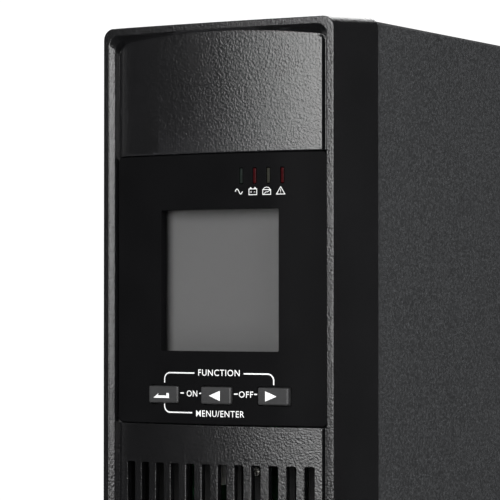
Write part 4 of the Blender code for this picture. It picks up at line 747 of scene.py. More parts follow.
def bezel_sections():
    """The bezel's sections all round, each from its hollow over the lip and the rim to the fascia."""

    def outline(less, radius):
        centre = (0, BEZEL.middle.z)
        return rounded(BEZEL.size.x - less, BEZEL.size.z - less, radius, centre, 8, 64, 24)

    rim_inset = 2 * TAPER + 2 * RIM_WIDTH
    insets = ((7.5, 2.2), (6.6, 2.6), (4, 2.6), (0, 3.6), (2 * TAPER, 3.6), (rim_inset, RIM_CORNER))
    half_width = BEZEL.size.x / 2 - TAPER - RIM_WIDTH - RIM_CORNER
    half_height = BEZEL.size.z / 2 - TAPER - RIM_WIDTH - RIM_CORNER
    lip = BEZEL_BACK - FRONT_Y
    radii = [0.5, 0.3, 0.35, 0.45, 0.3, 0.3, 0.3]
    for back, hollow, lip_inner, lip_outer, front, rim in zip(*(outline(*inset) for inset in insets)):
        (rim_x, rim_z), rim_y = rim, crown(RIM_CROWN, rim[0])
        drop = fascia_depth(rim_x) - rim_y
        lean_x = max(-1.0, min(1.0, rim_x / half_width))
        lean_z = max(-1.0, min(1.0, (rim_z - BEZEL.middle.z) / half_height))
        knee_x = rim_x - SIDE_DRAFT * drop * lean_x
        foot_x, foot_z = knee_x - 0.03 * lean_x, rim_z - END_DRAFT * drop * lean_z
        land_x, land_z = foot_x - 0.10 * lean_x, foot_z - 0.9 * lean_z
        corners = [
            (back[0], fascia_depth(back[0]) + FASCIA_WALL, back[1]),
            (hollow[0], fascia_depth(hollow[0]) + FASCIA_WALL, hollow[1]),
            (lip_inner[0], lip, lip_inner[1]),
            (lip_outer[0], lip, lip_outer[1]),
            (front[0], crown(RIM_CROWN, front[0]), front[1]),
            (rim_x, rim_y, rim_z),
            (knee_x, rim_y + drop * KNEE, rim_z - END_DRAFT * drop * KNEE * lean_z),
            (foot_x, surface(foot_x, foot_z), foot_z),
            (land_x, surface(land_x, land_z), land_z),
        ]
        yield softened([Vector(corner) for corner in corners], radii)


def block_pair(x, half, low_y, high_y, low_z, high_z, edge=0.3):
    """Two like blocks, one on each side of the bezel."""
    return [
        box((side * x - half, low_y, low_z), (side * x + half, high_y, high_z), edge)
        for side in SIDES
    ]


def make_bezel():
    sections = list(bezel_sections())
    shell, face, back, walls = (bmesh.new() for _ in range(4))
    ring_walls(shell, [[(p.x, FRONT_Y + p.y, p.z) for p in ring] for ring in zip(*sections)])
    bmesh.ops.recalc_face_normals(shell, faces=shell.faces)
    slots = [wound(loop, False) for loop in slot_loops()]
    opening = wound(opening_loop(0.25), False)
    outer = [(section[-1].x, section[-1].z) for section in sections]
    inner = [(section[0].x, section[0].z) for section in sections]
    fill(face, [outer] + [offset(slot, SLOT_EDGE) for slot in slots] + [offset(opening, LIP)], 0)
    bent(refined(face), surface)
    fill(back, [inner] + [offset(cut, SLOT_EDGE) for cut in slots + [opening]], -FASCIA_WALL)
    bent(back, fascia_depth, 2)
    for cut in slots + [opening]:
        top = LIP if cut is opening else SLOT_EDGE
        ring_walls(walls, hole_rings(cut, top, SLOT_EDGE, FASCIA_WALL, surface))
    bmesh.ops.recalc_face_normals(walls, faces=walls.faces)
    look_along_y(face, -1)
    look_along_y(back, 1)
    works = [shell, face, back, walls]
    clip_root, clip_end = FRONT_Y + 17, BEZEL_BACK + 7
    web_out = BEZEL.size.x / 2 - 1.2
    for z in CLIP_ROWS:
        works += block_pair(CLIP_X, 4.8, clip_root, clip_end, z - 1, z + 1)
        works += block_pair(CLIP_X, 4.8, clip_end - 3, clip_end, z - 1, z + 1.08, 0.5)
        web_x, web_half = (web_out + 34.5) / 2, (web_out - 34.5) / 2
        works += block_pair(web_x, web_half, clip_root, BEZEL_BACK - 2.5, z - 0.9, z + 0.9)
    for number in range(5):
        z = BEZEL.low.z + 30 + 68 * number
        works += block_pair(40.05, 1.45, FRONT_Y + 7.2, BEZEL_BACK - 4, z, z + 1.6)
    piece("bezel_shell", works, "bezel", "front_bezel", 32, "bezel")


# ---------------------------------------------------------------- display module


KEYS = ("enter", "left", "right")
LAMPS = {"mains": "lamp_green", "battery": "lamp_red", "bypass": "lamp_amber", "fault": "lamp_red"}
PANEL_WALL = 2.4


def centred(node, width, height, radius, across=1):
    """A rounded rectangle in x and z round a node's middle."""
    middle = Box(node).middle
    return rounded(width, height, radius, (middle.x, middle.z), 2, across)


def make_panel():
    """The glossy insert: crowned front, edges rounded, with deep walls round the window."""
    pane, lamp = Box("lcd_window"), Box("light_pipe_mains")
    cuts = [centred("lcd_window", pane.size.x - 2, pane.size.z - 2, 0.5, 40)]
    cuts += [centred("key_" + name, 11.5, 5.9, 0.6, 10) for name in KEYS]
    cuts += [centred("light_pipe_" + name, lamp.size.x + 0.4, lamp.size.z + 0.4, 0.25) for name in LAMPS]
    cuts = [wound(cut, False) for cut in cuts]
    outer = wound(opening_loop(-0.02), True)
    pane_y = pane.low.y - 0.1
    edge, rim = 0.15, 0.35
    front, back, walls = (bmesh.new() for _ in range(3))
    fill(front, [offset(outer, rim)] + [offset(cut, edge) for cut in cuts], 0)
    bent(front, fascia_depth)
    fill(back, [offset(outer, edge)] + [offset(cut, edge) for cut in cuts], -PANEL_WALL)
    bent(back, fascia_depth, 2)
    for cut in [outer] + cuts:
        rings = hole_rings(cut, rim if cut is outer else edge, edge, PANEL_WALL, fascia_depth)
        if cut is cuts[0]:
            wide = offset(cut, 1.0)
            rings = rings[:4] + [[(u, pane_y, v) for u, v in cut], [(u, pane_y, v) for u, v in wide]]
            rings.append([(u, FRONT_Y + fascia_depth(u) + PANEL_WALL, v) for u, v in wide])
        ring_walls(walls, rings)
    bmesh.ops.recalc_face_normals(walls, faces=walls.faces)
    look_along_y(front, -1)
    look_along_y(back, 1)
    posts = []
    board_y, inset = Box("display_board").low.y, 5.7
    for side_x, side_z in CORNERS:
        x = side_x * (PANEL.high.x - inset)
        start = FRONT_Y + fascia_depth(x) + PANEL_WALL - 0.2
        place = at(REAR, x, start, PANEL.middle.z + side_z * (PANEL.size.z / 2 - inset))
        posts.append(turned([(2.1, 0), (2.1, board_y - GAP - start)], place, 16))
    piece("display_bezel", [front, back, walls] + posts, "panel", "display_panel", 32, "bezel")


def ribbon_strip(points, width, closed=False):
    """A flat line of even width along points, with mitred corners, as quads."""
    work = bmesh.new()
    rows = []
    for before, point, after in neighbours([Vector(point) for point in points], closed):
        first, second = point - before, after - point
        first = first.normalized() if first.length > 1e-6 else second.normalized()
        second = second.normalized() if second.length > 1e-6 else first
        normal = Vector((-first.y - second.y, first.x + second.x)).normalized()
        lean = max(0.5, normal.dot(Vector((-first.y, first.x))))
        reach = normal * (width / 2 / lean)
        rows.append([work.verts.new((*place, 0)) for place in (point + reach, point - reach)])
    for (a, b), (c, d) in list(zip(rows, rows[1:])) + ([(rows[-1], rows[0])] if closed else []):
        work.faces.new((a, b, d, c))
    return work


def lettering(words, left, right, middle, height):
    """Plain sans-serif capitals between two x places, as a flat mesh in x and z."""
    curve = bpy.data.curves.new("words", "FONT")
    curve.body = words
    curve.offset = 0.002
    curve.resolution_u = 3
    curve.space_character = 1.10
    holder = bpy.data.objects.new("words", curve)
    bpy.context.scene.collection.objects.link(holder)
    graph = bpy.context.evaluated_depsgraph_get()
    mesh = bpy.data.meshes.new_from_object(holder.evaluated_get(graph))
    bpy.data.objects.remove(holder, do_unlink=True)
    bpy.data.curves.remove(curve)
    work = bmesh.new()
    work.from_mesh(mesh)
    bpy.data.meshes.remove(mesh)
    xs, ys = zip(*(vertex.co.xy for vertex in work.verts))
    for vertex in work.verts:
        u = (vertex.co.x - min(xs)) / (max(xs) - min(xs))
        v = (vertex.co.y - min(ys)) / (max(ys) - min(ys)) - 0.5
        vertex.co = (left + (right - left) * u, middle + height * v, 0)
    return work


WAVE = [(2.6 * (step / 16 - 0.5), 0.80 * math.sin(2 * math.pi * step / 16)) for step in range(17)]

# The status symbols: where each one's middle is, then its lines' widths, whether they close, and points
SYMBOLS = {
    (9.1, 53.5): [(0.22, False, WAVE)],
    (14.0, 53.6): [
        (0.20, True, [(-1.35, -1.0), (1.35, -1.0), (1.35, 0.8), (-1.35, 0.8)]),
        (0.22, False, [(-1.0, 0.9), (-0.75, 1.25), (-0.5, 0.9)]),
        (0.22, False, [(0.5, 0.9), (0.75, 1.25), (1.0, 0.9)]),
        (0.13, False, [(-0.85, -0.15), (-0.35, -0.15)]),
        (0.13, False, [(0.35, -0.15), (0.85, -0.15)]),
        (0.13, False, [(-0.6, 0.1), (-0.6, -0.4)]),
    ],
    (18.75, 53.6): [
        (0.20, True, [(-1.35, -1.0), (1.35, -1.0), (1.35, 0.5), (-1.35, 0.5)]),
        (0.17, False, [(-1.2, 0.6), (-0.7, 1.15), (0.0, 1.3), (0.7, 1.15), (1.2, 0.6)]),
        (0.16, False, [(-1.1, -0.9), (-0.3, -0.2), (0.3, -0.22), (1.2, 0.4)]),
    ],
    (23.45, 53.55): [
        (0.20, True, [(-1.4, -1.0), (1.4, -1.0), (0.0, 1.3)]),
        (0.17, False, [(0.0, 0.55), (0.0, -0.3)]),
        (0.17, False, [(0.0, -0.5), (0.0, -0.72)]),
    ],
}


def make_legends():
    """Key legends, bracket lines and the four status symbols, printed on the panel.

    Heights are drops below the bezel's flat face top.
    """

    def line(points, width=0.40, closed=False):
        return ribbon_strip([(x, BEZEL_FACE_TOP - drop) for x, drop in points], width, closed)

    def curve(centre, start, end):
        turns = [math.radians(start + (end - start) * step / 5) for step in range(6)]
        return [(centre[0] + 2 * math.cos(a), centre[1] - 2 * math.sin(a)) for a in turns]

    flat = []
    for words, left, right, drop, height in (
        ("FUNCTION", -5.7, 9.4, 110.2, 2.0),
        ("MENU/ENTER", -6.5, 11.0, 123.05, 2.0),
        ("ON", -10.1, -6.1, 116.85, 1.95),
        ("OFF", 9.1, 14.1, 116.85, 1.95),
    ):
        flat.append(lettering(words, left, right, BEZEL_FACE_TOP - drop, height))
    for x0, x1 in ((-12.5, -11.2), (-5.3, -4.4), (7.4, 8.7), (14.5, 15.4)):
        flat.append(line([(x0, 116.75), (x1, 116.75)], 0.38))
    flat += [
        line([(-18.8, 113.6), (-18.8, 112.4)] + curve((-16.8, 112.4), 180, 90) + [(-7.2, 110.4)]),
        line([(10.8, 110.4)] + curve((19.1, 112.4), 90, 0) + [(21.1, 113.8)]),
        line([(-18.8, 120.2), (-18.8, 120.9)] + curve((-16.8, 120.9), 180, 270) + [(-8.0, 122.9)]),
    ]
    for (x, drop), strokes in SYMBOLS.items():
        for width, closed, points in strokes:
            flat.append(line([(x + u, drop - v) for u, v in points], width, closed))
    lift = 0.03  # in front of the panel
    for work in flat:
        bmesh.ops.triangulate(work, faces=work.faces[:])
        bent(work, lambda x, z: fascia_depth(x) - lift, 0.8)
        look_along_y(work, -1)
    piece("panel_legends", flat, "print", sharp=60, body="bezel", weighted=False)


def make_keys():
    enter = [(-3.7, -1.1), (-1.8, 0.35), (-2.0, -0.35), (1.2, -0.35)]
    enter += [(1.2, 0.45), (2.1, 0.45), (2.2, -1.1)]
    arrows = {
        "enter": enter,
        "left": [(-2.4, -0.1), (1.6, 1.5), (1.6, -1.7)],
        "right": [(1.4, 0.0), (-2.7, 1.6), (-2.7, -1.6)],
    }
    for name in KEYS:
        key, body = Box("key_" + name), "key_%s_body" % name
        place = key.place(FRONT, key.low.y)
        cap = slab([rounded(11, 5.4, 0.5, (0, 0), 3)], -3.2, -0.04, 0.45, 0.1, 4)
        dish = slab([rounded(13.2, 7.6, 0.6, (0, 0), 3)], -4.3, -3.4, 0.15)
        stem = slab([rounded(3, 3, 0.3, (0, 0), 2)], -key.size.y, -4.0, 0.1)
        piece("keycap_" + name, [cap, dish, stem], "key", "key_" + name, body=body, place=place)
        arrow = bmesh.new()
        fill(arrow, [arrows[name]], -0.02)
        look = {"sharp": 60, "body": body, "slot": "key_plastic", "place": place, "weighted": False}
        piece("keycap_%s_symbol" % name, [arrow], "print", **look)


def make_screen():
    pane, module = Box("lcd_window"), Box("lcd_module")
    works = [slab([pane.outline(1)], 0, pane.size.y, 0.12)]
    place = pane.place(FRONT, pane.high.y)
    piece("screen_pane", works, "pane", "lcd_window", 38, "bezel", place=place)
    glass = slab([rounded(module.size.x, module.size.z - 3, 0.3, (0, 0), 2)], 1.6, module.size.y, 0.15)
    base = slab([module.outline(0.6, 2)], 0, 1.5, 0.15)
    place = module.place(FRONT, module.high.y)
    piece("screen_glass", [glass], "lcd", "lcd_module", 38, "bezel", place=place)
    piece("screen_backlight", [base], "lcd_frame", None, 38, "bezel", place=place)


def make_lamps():
    for name, finish in LAMPS.items():
        node = "light_pipe_" + name
        lamp = Box(node)
        works = [slab([lamp.outline(0.2, 2)], 0, lamp.size.y, 0.2, 0.05)]
        piece("lamp_" + name, works, finish, node, 38, "bezel", place=lamp.place(FRONT, lamp.high.y))


make_bezel()
make_panel()
make_legends()
make_keys()
make_screen()
make_lamps()

# ---------------------------------------------------------------- chassis sheet metal


REAR_Y = COVER.high.y
EARTH_STUD = (0.1, 298.7)  # the bright spot behind the grille, in x and z
INSERT = [(3.4, -1), (3.4, 0.15), (2.2, 0.15), (1.9, -0.4), (1.9, -3), (0, -3)]


def make_chassis():
    base = Box("chassis_base")
    low, high = COVER.low, COVER.high
    profile = [(low.x, low.z), (high.x, low.z), (high.x, high.z), (low.x, high.z)]
    piece("case_cover", [folded(profile, low.y, high.y)], "paint", "chassis_cover", 40)
    (left, _, bottom), (right, _, top) = base.low, base.high
    profile = [(right, top), (left, top), (left, bottom), (right, bottom)]
    piece("case_base", [folded(profile, low.y, high.y)], "paint", "chassis_base", 40)
    screws, inserts = [], []
    ends = ((TOP, high.z), (UNDER, low.z))
    edge_x, edge_y = left + 7, 186
    for y in (-163, -60, 42, 178):
        screws += [screw(at(facing, edge_x, y, z), 2.6, 0.9) for facing, z in ends]
    screws += [screw(at(RIGHT, high.x, edge_y, z), 2.6, 0.9) for z in (60, 180, 300, 415)]
    for y in (-160, -138):
        for x in (-14, 18):
            inserts += [turned(INSERT, at(facing, x, y, z), 20) for facing, z in ends]
    piece("case_screws", screws, "dark_screw", slot="chassis_paint")
    piece("rack_ear_inserts", inserts, "zinc")


def make_front_wall():
    wall, tray, battery = Box("front_wall"), Box("battery_tray"), Box("battery_1")
    left, right = tray.low.x + TRAY_LIFT - 1, battery.high.x + 1
    loops = [rectangle(wall.low.x, wall.high.x, wall.low.z, wall.high.z, 1)]
    loops.append(rectangle(left, right, tray.low.z - 0.1, BAY_TOP - 0.7))
    for z in CLIP_ROWS:
        for x in (-CLIP_X, CLIP_X):
            loops.append(rectangle(x - 6, x + 6, z - 2.2, z + 2.2))
    loops += [rounded(5, 60, 2.4, (x, BAY_TOP + 65)) for x in (-25, -15, -5, 5, 15, 25)]
    loops.append(rounded(24, 16, 2, (0, PANEL.middle.z)))
    plate = slab(loops, 0, wall.size.y, 0.15)
    place = at(FRONT, 0, wall.high.y, 0)
    # The inner front wall is painted near black as painted shade behind the grille; the real sheet has the
    # case's paint
    piece("inner_front_wall", [plate], "shade_black_paint", "front_wall", 40, place=place)
    stud_x, stud_z = EARTH_STUD
    piece("earth_stud", [screw(at(FRONT, stud_x, wall.low.y, stud_z), 2.1, 3.4)], "nickel")
    screws = []
    for z in (BAY_TOP + 8, wall.high.z - 6):
        screws += [screw(at(FRONT, x, wall.low.y, z), 2.4, 1.2) for x in (-36, 36)]
    piece("front_wall_screws", screws, "zinc")
    shelf = Box("battery_bay_wall")
    low, high = shelf.low, shelf.high
    profile = [(low.x, high.z), (low.x, low.z), (high.x, low.z)]
    piece("bay_shelf", [folded(profile, low.y, high.y)], "zinc", "battery_bay_wall", 40)


# ---------------------------------------------------------------- battery cassette


def make_tray(body):
    """The cassette's tray with its flange, lugs and screws, and the wire bail."""
    tray, bail = Box("battery_tray"), Box("bail_handle")
    low, high = tray.low, tray.high
    floor_x = low.x + TRAY_LIFT
    front, bottom, top = bail.low.y + 5.2, low.z + 0.15, high.z - 4
    lip = floor_x + 45
    works = [
        box((floor_x, front, bottom), (floor_x + SHEET, high.y, top)),
        box((floor_x, front, bottom), (lip, high.y, bottom + SHEET)),
        box((floor_x, front, top - SHEET), (lip, high.y, top)),
        box((floor_x, high.y - SHEET, bottom), (lip, high.y, top)),
    ]
    hinge = Vector((bail.middle.x, bail.middle.y, bail.high.z - 1.6))
    flange = slab([rectangle(low.x, high.x, low.z, high.z, 1.2)], 0, SHEET, 0.25)
    works.append(moved(flange, at(FRONT, 0, front + SHEET, 0)))
    bore_u = -3.6
    for side in SIDES:
        lug = slab([rounded(7.3, 8, 2.2, (bore_u + 0.1, 0)), circle(1.9, 16, (bore_u, 0))], -1, 1, 0.2)
        works.append(moved(lug, at(RIGHT, hinge.x + side * 30, front, hinge.z)))
    piece("cassette_tray", works, "zinc", "battery_tray", 35, body)
    screws = []
    for x in (low.x + 7, high.x - 7):
        screws += [screw(at(FRONT, x, front, z), 3.2, 2.0) for z in (low.z + 9, high.z - 9)]
    piece("cassette_screws", screws, "nickel", body=body)

    half, bend, drop = 24, 4, 15
    turns = (0.4, 0.8, 1.2, 1.57)
    arm = [(33, 0), (30, 0)]
    arm += [(half + bend * (1 - math.sin(a)), bend * (math.cos(a) - 1)) for a in (0, *turns)]
    arm += [(half, bend - drop)]
    arm += [(half - bend * (1 - math.cos(a)), bend * (1 - math.sin(a)) - drop) for a in turns]
    path = arm + [(-u, w) for u, w in reversed(arm)]
    handle = rod([hinge + Vector((u, 0, w)) for u, w in path], 1.58, 14)
    piece("cassette_bail", [handle], "nickel", "bail_handle", 50, "bail", weighted=False)


def make_battery(node, body):
    battery = Box(node)
    low, high = battery.low, battery.high
    top = high.z - 6
    case = box(low, (high.x, high.y, top - 5.6), 1.6, 3)
    seam = box((low.x + 0.8, low.y + 0.8, top - 6.6), (high.x - 0.8, high.y - 0.8, top - 4.4), 0)
    piece(node + "_case", [case, seam], "battery", node, 35, body)
    lid = box((low.x + 0.2, low.y + 0.2, top - 5.2), (high.x - 0.2, high.y - 0.2, top), 1.4, 3)
    vents = box((low.x + 14, low.y + 22, top - 0.5), (high.x - 14, high.y - 22, top + 0.8), 0.7)
    piece(node + "_lid", [lid, vents], "battery_lid", None, 35, body)
    blades, collars = [], []
    x = low.x + 16.25
    for share in (0.06, 0.94):
        y = low.y + battery.size.y * share
        blade = slab([rounded(6.3, 7.4, 0.8, (0, 2.6), 3), circle(0.9, 12, (0, 3.6))], -0.4, 0.4, 0.1)
        blades.append(moved(blade, at(FRONT, x, y, top - 0.7)))
        collars.append(box((x - 4.5, y - 3, top - 1), (x + 4.5, y + 3, top + 0.6), 0.4))
    piece(node + "_terminals", blades, "nickel", body=body)
    piece(node + "_collars", collars, "wire_red", body=body)


def make_wires(body):
    """The leads over the batteries, a red and a black one along each layer."""
    battery = Box("battery_1")
    levels = [Box(node).high.z - 2.5 for node in ("battery_1", "battery_2")]
    for finish, x in (("wire_red", battery.low.x + 21), ("wire_black", battery.low.x + 25)):
        works = []
        for z in levels:
            path = [(x, battery.low.y + 12, z), (x + 3, battery.low.y + 60, z + 0.4)]
            path += [(x - 1, battery.high.y + 40, z - 0.5), (x + 2, battery.high.y + 138, z)]
            works.append(rod(smooth_path(path), 1.5))
        piece("cassette_" + finish, works, finish, sharp=50, body=body)


def make_power_plug(body):
    """The plug on the cassette and the socket that it meets, with two ways each."""
    plug, socket = Box("battery_plug"), Box("battery_socket")
    loops = [plug.outline(1.6, 4)]
    loops += [circle(2.6, 20, (0, side * TERMINAL_SPREAD)) for side in SIDES]
    works = [slab(loops, -plug.size.y / 2, plug.size.y / 2, 0.5)]
    place = plug.place(FRONT, plug.middle.y)
    piece("cassette_plug", works, "grey_plastic", "battery_plug", 35, body, place=place)
    half_length = 6
    mouth = plug.high.y + GAP
    end = mouth + half_length
    works = [moved(slab(loops, -half_length, half_length, 0.5), plug.place(FRONT, end))]
    ledge_high = (plug.middle.x - 7, end + 2, socket.high.z)
    works.append(box((socket.low.x, end, socket.low.z), ledge_high))
    piece("chassis_socket", works, "grey_plastic", "battery_socket", 35)
    pins = []
    for side in SIDES:
        place = at(FRONT, plug.middle.x, mouth, plug.middle.z + side * TERMINAL_SPREAD)
        pins.append(turned([(2.1, -9), (2.1, 6.5), (1.2, 7.8), (0, 7.9)], place, 16))
    piece("chassis_socket_pins", pins, "nickel", sharp=40, slot="connector_grey")


def make_cassette():
    body = "battery_cassette"
    make_tray(body)
    for number in range(1, 5):
        make_battery("battery_%d" % number, body)
    make_wires(body)
    make_power_plug(body)


# ---------------------------------------------------------------- power electronics


# Small parts to scatter: finish, two sides and height
SMALL_PARTS = (
    ("chip", 7, 10, 1.8),
    ("chip", 4, 5, 1.4),
    ("white_plastic", 5, 11, 7),
    ("tape", 5, 8, 6),
    ("zinc", 1.4, 2.6, 0.9),
    ("chip", 1.6, 3.0, 0.7),
)
UPRIGHT, LEVEL = (1, 2), (0, 1)  # the two axes along a board's face


def scatter(prefix, node, axes, surface, count, avoid, seed, tallest, margin):
    """Pieces of small parts on a board's face, kept clear of the rectangles in avoid."""
    board = Box(node)
    draw = random.Random(seed)
    groups = {"chip": [], "white_plastic": [], "tape": [], "zinc": []}
    taken = list(avoid)
    for _ in range(count):
        finish, first, second, tall = draw.choice(SMALL_PARTS)
        if draw.random() < 0.5:
            first, second = second, first
        a, b = (draw.uniform(board.low[axis] + margin, board.high[axis] - margin) for axis in axes)
        low_a, high_a = a - first / 2, a + first / 2
        low_b, high_b = b - second / 2, b + second / 2
        spot = (low_a - 1, high_a + 1, low_b - 1, high_b + 1)
        if any(spot[0] < t[1] and t[0] < spot[1] and spot[2] < t[3] and t[2] < spot[3] for t in taken):
            continue
        taken.append(spot)
        top = surface + min(tall, tallest)
        if axes == UPRIGHT:
            corners = (surface, low_a, low_b), (top, high_a, high_b)
        else:
            corners = (low_a, low_b, surface), (high_a, high_b, top)
        groups[finish].append(box(*corners, 0.25, 1))
    for finish, works in groups.items():
        piece(prefix + finish, works, finish, slot="circuit_board")


def make_display_board():
    board = Box("display_board")
    plate = slab([board.outline(1.5)], 0, board.size.y, 0.1)
    place = board.place(FRONT, board.high.y)
    piece("display_circuit_board", [plate], "board", "display_board", 35, "bezel", place=place)
    y, z = board.high.y, board.middle.z
    header = box((-11, y - 0.1, z - 3), (11, y + 5.2, z + 3), 0.4)
    piece("display_header", [header], "white_plastic", body="bezel")
    for name in KEYS:
        node = "switch_" + name
        switch = Box(node)
        low, high = switch.low, switch.high
        button = [(1.6, 0), (1.6, 1.3), (1.3, 1.5), (0, 1.5)]
        works = [box((low.x, low.y + 1.2, low.z), high, 0.4)]
        works.append(turned(button, switch.place(FRONT, low.y + 1.6), 20))
        piece(node + "_body", works, "socket", node, body="bezel")


def make_main_board():
    board = Box("main_board")
    low, high, middle = board.low, board.high, board.middle
    surface, thickness, inset = high.x, 1.6, 8
    corners = [(y, z) for y in (low.y + inset, high.y - inset) for z in (low.z + inset, high.z - inset)]
    loops = [rounded(board.size.y, board.size.z, 2, (middle.y, middle.z), 3)]
    loops += [circle(1.7, 16, corner) for corner in corners]
    plate_x = surface - thickness
    works = [slab(loops, 0, thickness, 0.1)]
    piece("power_board", works, "board", "main_board", 35, place=at(RIGHT, plate_x, 0, 0))
    post = [(2.9, 0), (2.9, plate_x - low.x)]
    posts = [turned(post, at(RIGHT, low.x, y, z), 6) for y, z in corners]
    posts += [screw(at(RIGHT, surface, y, z), 2.8, 1.5) for y, z in corners]
    piece("power_board_posts", posts, "nickel")
    big = ["heatsink_rectifier", "heatsink_inverter", "choke_rectifier", "choke_inverter", "transformer"]
    big += ["relay_bypass", "relay_output", "control_board"]
    big += ["bulk_capacitor_%d" % number for number in range(1, 5)]
    avoid = [(part.low.y - 1, part.high.y + 1, part.low.z - 1, part.high.z + 1) for part in map(Box, big)]
    avoid += [(y - 5, y + 5, z - 5, z + 5) for y, z in corners]
    scatter("power_board_", "main_board", UPRIGHT, surface, 420, avoid, 11, 12, 5)


def make_control_board():
    board, cable = Box("control_board"), Box("display_cable")
    plate = slab([rounded(board.size.x, board.size.y, 1.5, (0, 0), 3)], 0, board.size.z, 0.1)
    place = at(TOP, board.middle.x, board.middle.y, board.low.z)
    piece("logic_board", [plate], "board", "control_board", 35, place=place)
    avoid = [(-12, 12, board.low.y, cable.high.y + 6)]
    scatter("logic_board_", "control_board", LEVEL, board.high.z, 150, avoid, 5, 9, 4)


def make_ribbon():
    """The display cable's cores, in one gentle step from the display down to the board."""
    cable = Box("display_cable")
    start_y, start_z = cable.low.y, cable.high.z - 0.6
    run, drop = cable.size.y, cable.low.z + 0.6 - start_z
    cores, steps = 14, 12
    pitch = cable.size.x / cores
    works = []
    for core in range(cores):
        path = []
        for step in range(steps + 1):
            share = step / steps
            eased = 3 * share**2 - 2 * share**3
            path.append((cable.low.x + (core + 0.5) * pitch, start_y + run * share, start_z + drop * eased))
        works.append(rod(path, min(pitch * 0.53, 0.6), 8))
    piece("ribbon_cores", works, "ribbon", "display_cable", 60, weighted=False)


def make_heatsink(node):
    sink = Box(node)
    low, high = sink.low, sink.high
    fins, thickness, cut = 6, 1.8, 0.5
    root, fillet = low.x + 6, 0.8
    pitch = (sink.size.z - thickness) / (fins - 1)
    outline = [(low.x, high.z), (low.x, low.z)]
    for fin in range(fins):
        z = low.z + fin * pitch
        top, following = z + thickness, z + pitch
        outline += [(high.x - cut, z), (high.x, z + cut), (high.x, top - cut), (high.x - cut, top)]
        if fin < fins - 1:
            outline += [(root + fillet, top), (root, top + fillet)]
            outline += [(root, following - fillet), (root + fillet, following)]
    works = [slab([outline], -high.y, -low.y, 0.15)]
    piece(node + "_extrusion", works, "aluminium", node, place=FRONT)


def squared(value, gain, limit):
    """A wave of height one, flattened where it passes the limit."""
    return max(-limit, min(limit, gain * value)) / limit


def make_choke(node):
    """A ring core and the one wire that winds round it."""
    choke = Box(node)
    wire, turns, around_turn = 0.95, 34, 14
    tube = choke.size.x / 2
    radius = choke.size.y / 2 - tube
    section = rounded(1.2 * tube, 1.55 * tube, 1.6, (0, 0), 2)

    def on_ring(angle, u, w):
        out = Vector((0, math.cos(angle), math.sin(angle)))
        return choke.middle + out * (radius + u) + Vector((w, 0, 0))

    core = bmesh.new()
    rings = [[on_ring(angle, u, w) for u, w in section] for angle in angles(40)]
    ring_walls(core, rings + rings[:1])
    piece(node + "_core", [closed_up(core)], "ferrite", sharp=60)
    reach = (tube - wire) * 0.98
    path = []
    for step in range(turns * around_turn):
        share = step / (turns * around_turn)
        angle = math.radians(12 + share * 336)
        spin = share * turns * 2 * math.pi
        u = squared(math.cos(spin), 0.95, 0.62) * reach
        w = squared(math.sin(spin), 1.10, 0.80) * reach
        path.append(on_ring(angle, u, w))
    piece(node + "_winding", [rod(path, wire, 7)], "copper", node, 60, weighted=False)


def make_capacitor(node):
    can = Box(node)
    radius, length = 12.3, can.size.x

    def facing_right(x, turn=0.0):
        return at(RIGHT, x, can.middle.y, can.middle.z, turn)

    profile = [(radius - 1, 0), (radius, 1), (radius, 2.6), (radius - 0.6, 3.4)]
    profile += [(radius, 4.4), (radius, length - 1.2), (radius - 1.2, length - 0.1)]
    profile += [(radius - 1.8, length - 0.1), (radius - 1.9, length - 0.6), (0, length - 0.6)]
    piece(node + "_sleeve", [turned(profile, facing_right(can.low.x), 32)], "sleeve", node)
    lid = [(radius - 2.0, 0), (radius - 2.2, 0.25), (0, 0.3)]
    works = [turned(lid, facing_right(can.high.x - 0.72), 32)]
    for turn in (0, math.pi / 3, -math.pi / 3):
        groove = box((-8, -0.3, 0), (8, 0.3, 0.25), 0.1)
        works.append(moved(groove, facing_right(can.high.x - 0.55, turn)))
    piece(node + "_top", works, "aluminium", slot="capacitor_sleeve")


def make_transformer():
    whole = Box("transformer")
    low, high = whole.low, whole.high
    waist, leg, width = 5, 10, 38
    front, rear, right = low.y + waist, high.y - waist, low.x + width
    foot, head = low.z + leg, high.z - leg
    works = [
        box((low.x, front, low.z), (right, rear, foot), 0.6),
        box((low.x, front, head), (right, rear, high.z), 0.6),
        box((low.x, front, foot), (low.x + waist, rear, head)),
        box((right - waist, front, foot), (right, rear, head)),
    ]
    piece("transformer_core", works, "ferrite", "transformer")
    gap = 0.4
    inner_high = (right - waist - gap, high.y, head - gap)
    winding = box((low.x + waist + gap, low.y, foot + gap), inner_high, 4, 4)
    piece("transformer_winding", [winding], "tape", sharp=40, slot="ferrite")


def make_relay(node):
    relay = Box(node)
    low, high, middle = relay.low, relay.high, relay.middle
    mark_low = (high.x - 0.4, middle.y - 4, middle.z - 0.4)
    works = [
        box((low.x + 1, low.y, low.z), high, 0.8, 3),
        box(low, (low.x + 1.4, high.y, high.z), 0.2),
        box(mark_low, (high.x, middle.y + 4, middle.z + 0.4), 0.1),
    ]
    piece(node + "_case", works, "relay", node)


def make_power_parts():
    for name in ("rectifier", "inverter"):
        make_heatsink("heatsink_" + name)
        make_choke("choke_" + name)
    for number in range(1, 5):
        make_capacitor("bulk_capacitor_%d" % number)
    make_transformer()
    make_relay("relay_bypass")
    make_relay("relay_output")


# ---------------------------------------------------------------- rear


BANKS = ("outlet_bank_lower", "outlet_bank_upper")
OUTLET_U, OUTLET_V = 15.5, 12.5
COUPLER = (24.5, 16.5, 4.5)  # width, height and cut corner of the opening
INLET_EAR = 20
PLUG_SCREW = (2.8, 1.2)


def open_ended(points, radius, steps):
    """A loop round corner points, each rounded, that starts halfway along its last side."""
    corners = [Vector((u, v, 0)) for u, v in points]
    start = (corners[-1] + corners[0]) / 2
    path = softened([start] + corners + [start], [radius] * len(corners), steps)
    return [(point.x, point.y) for point in path[:-1]]


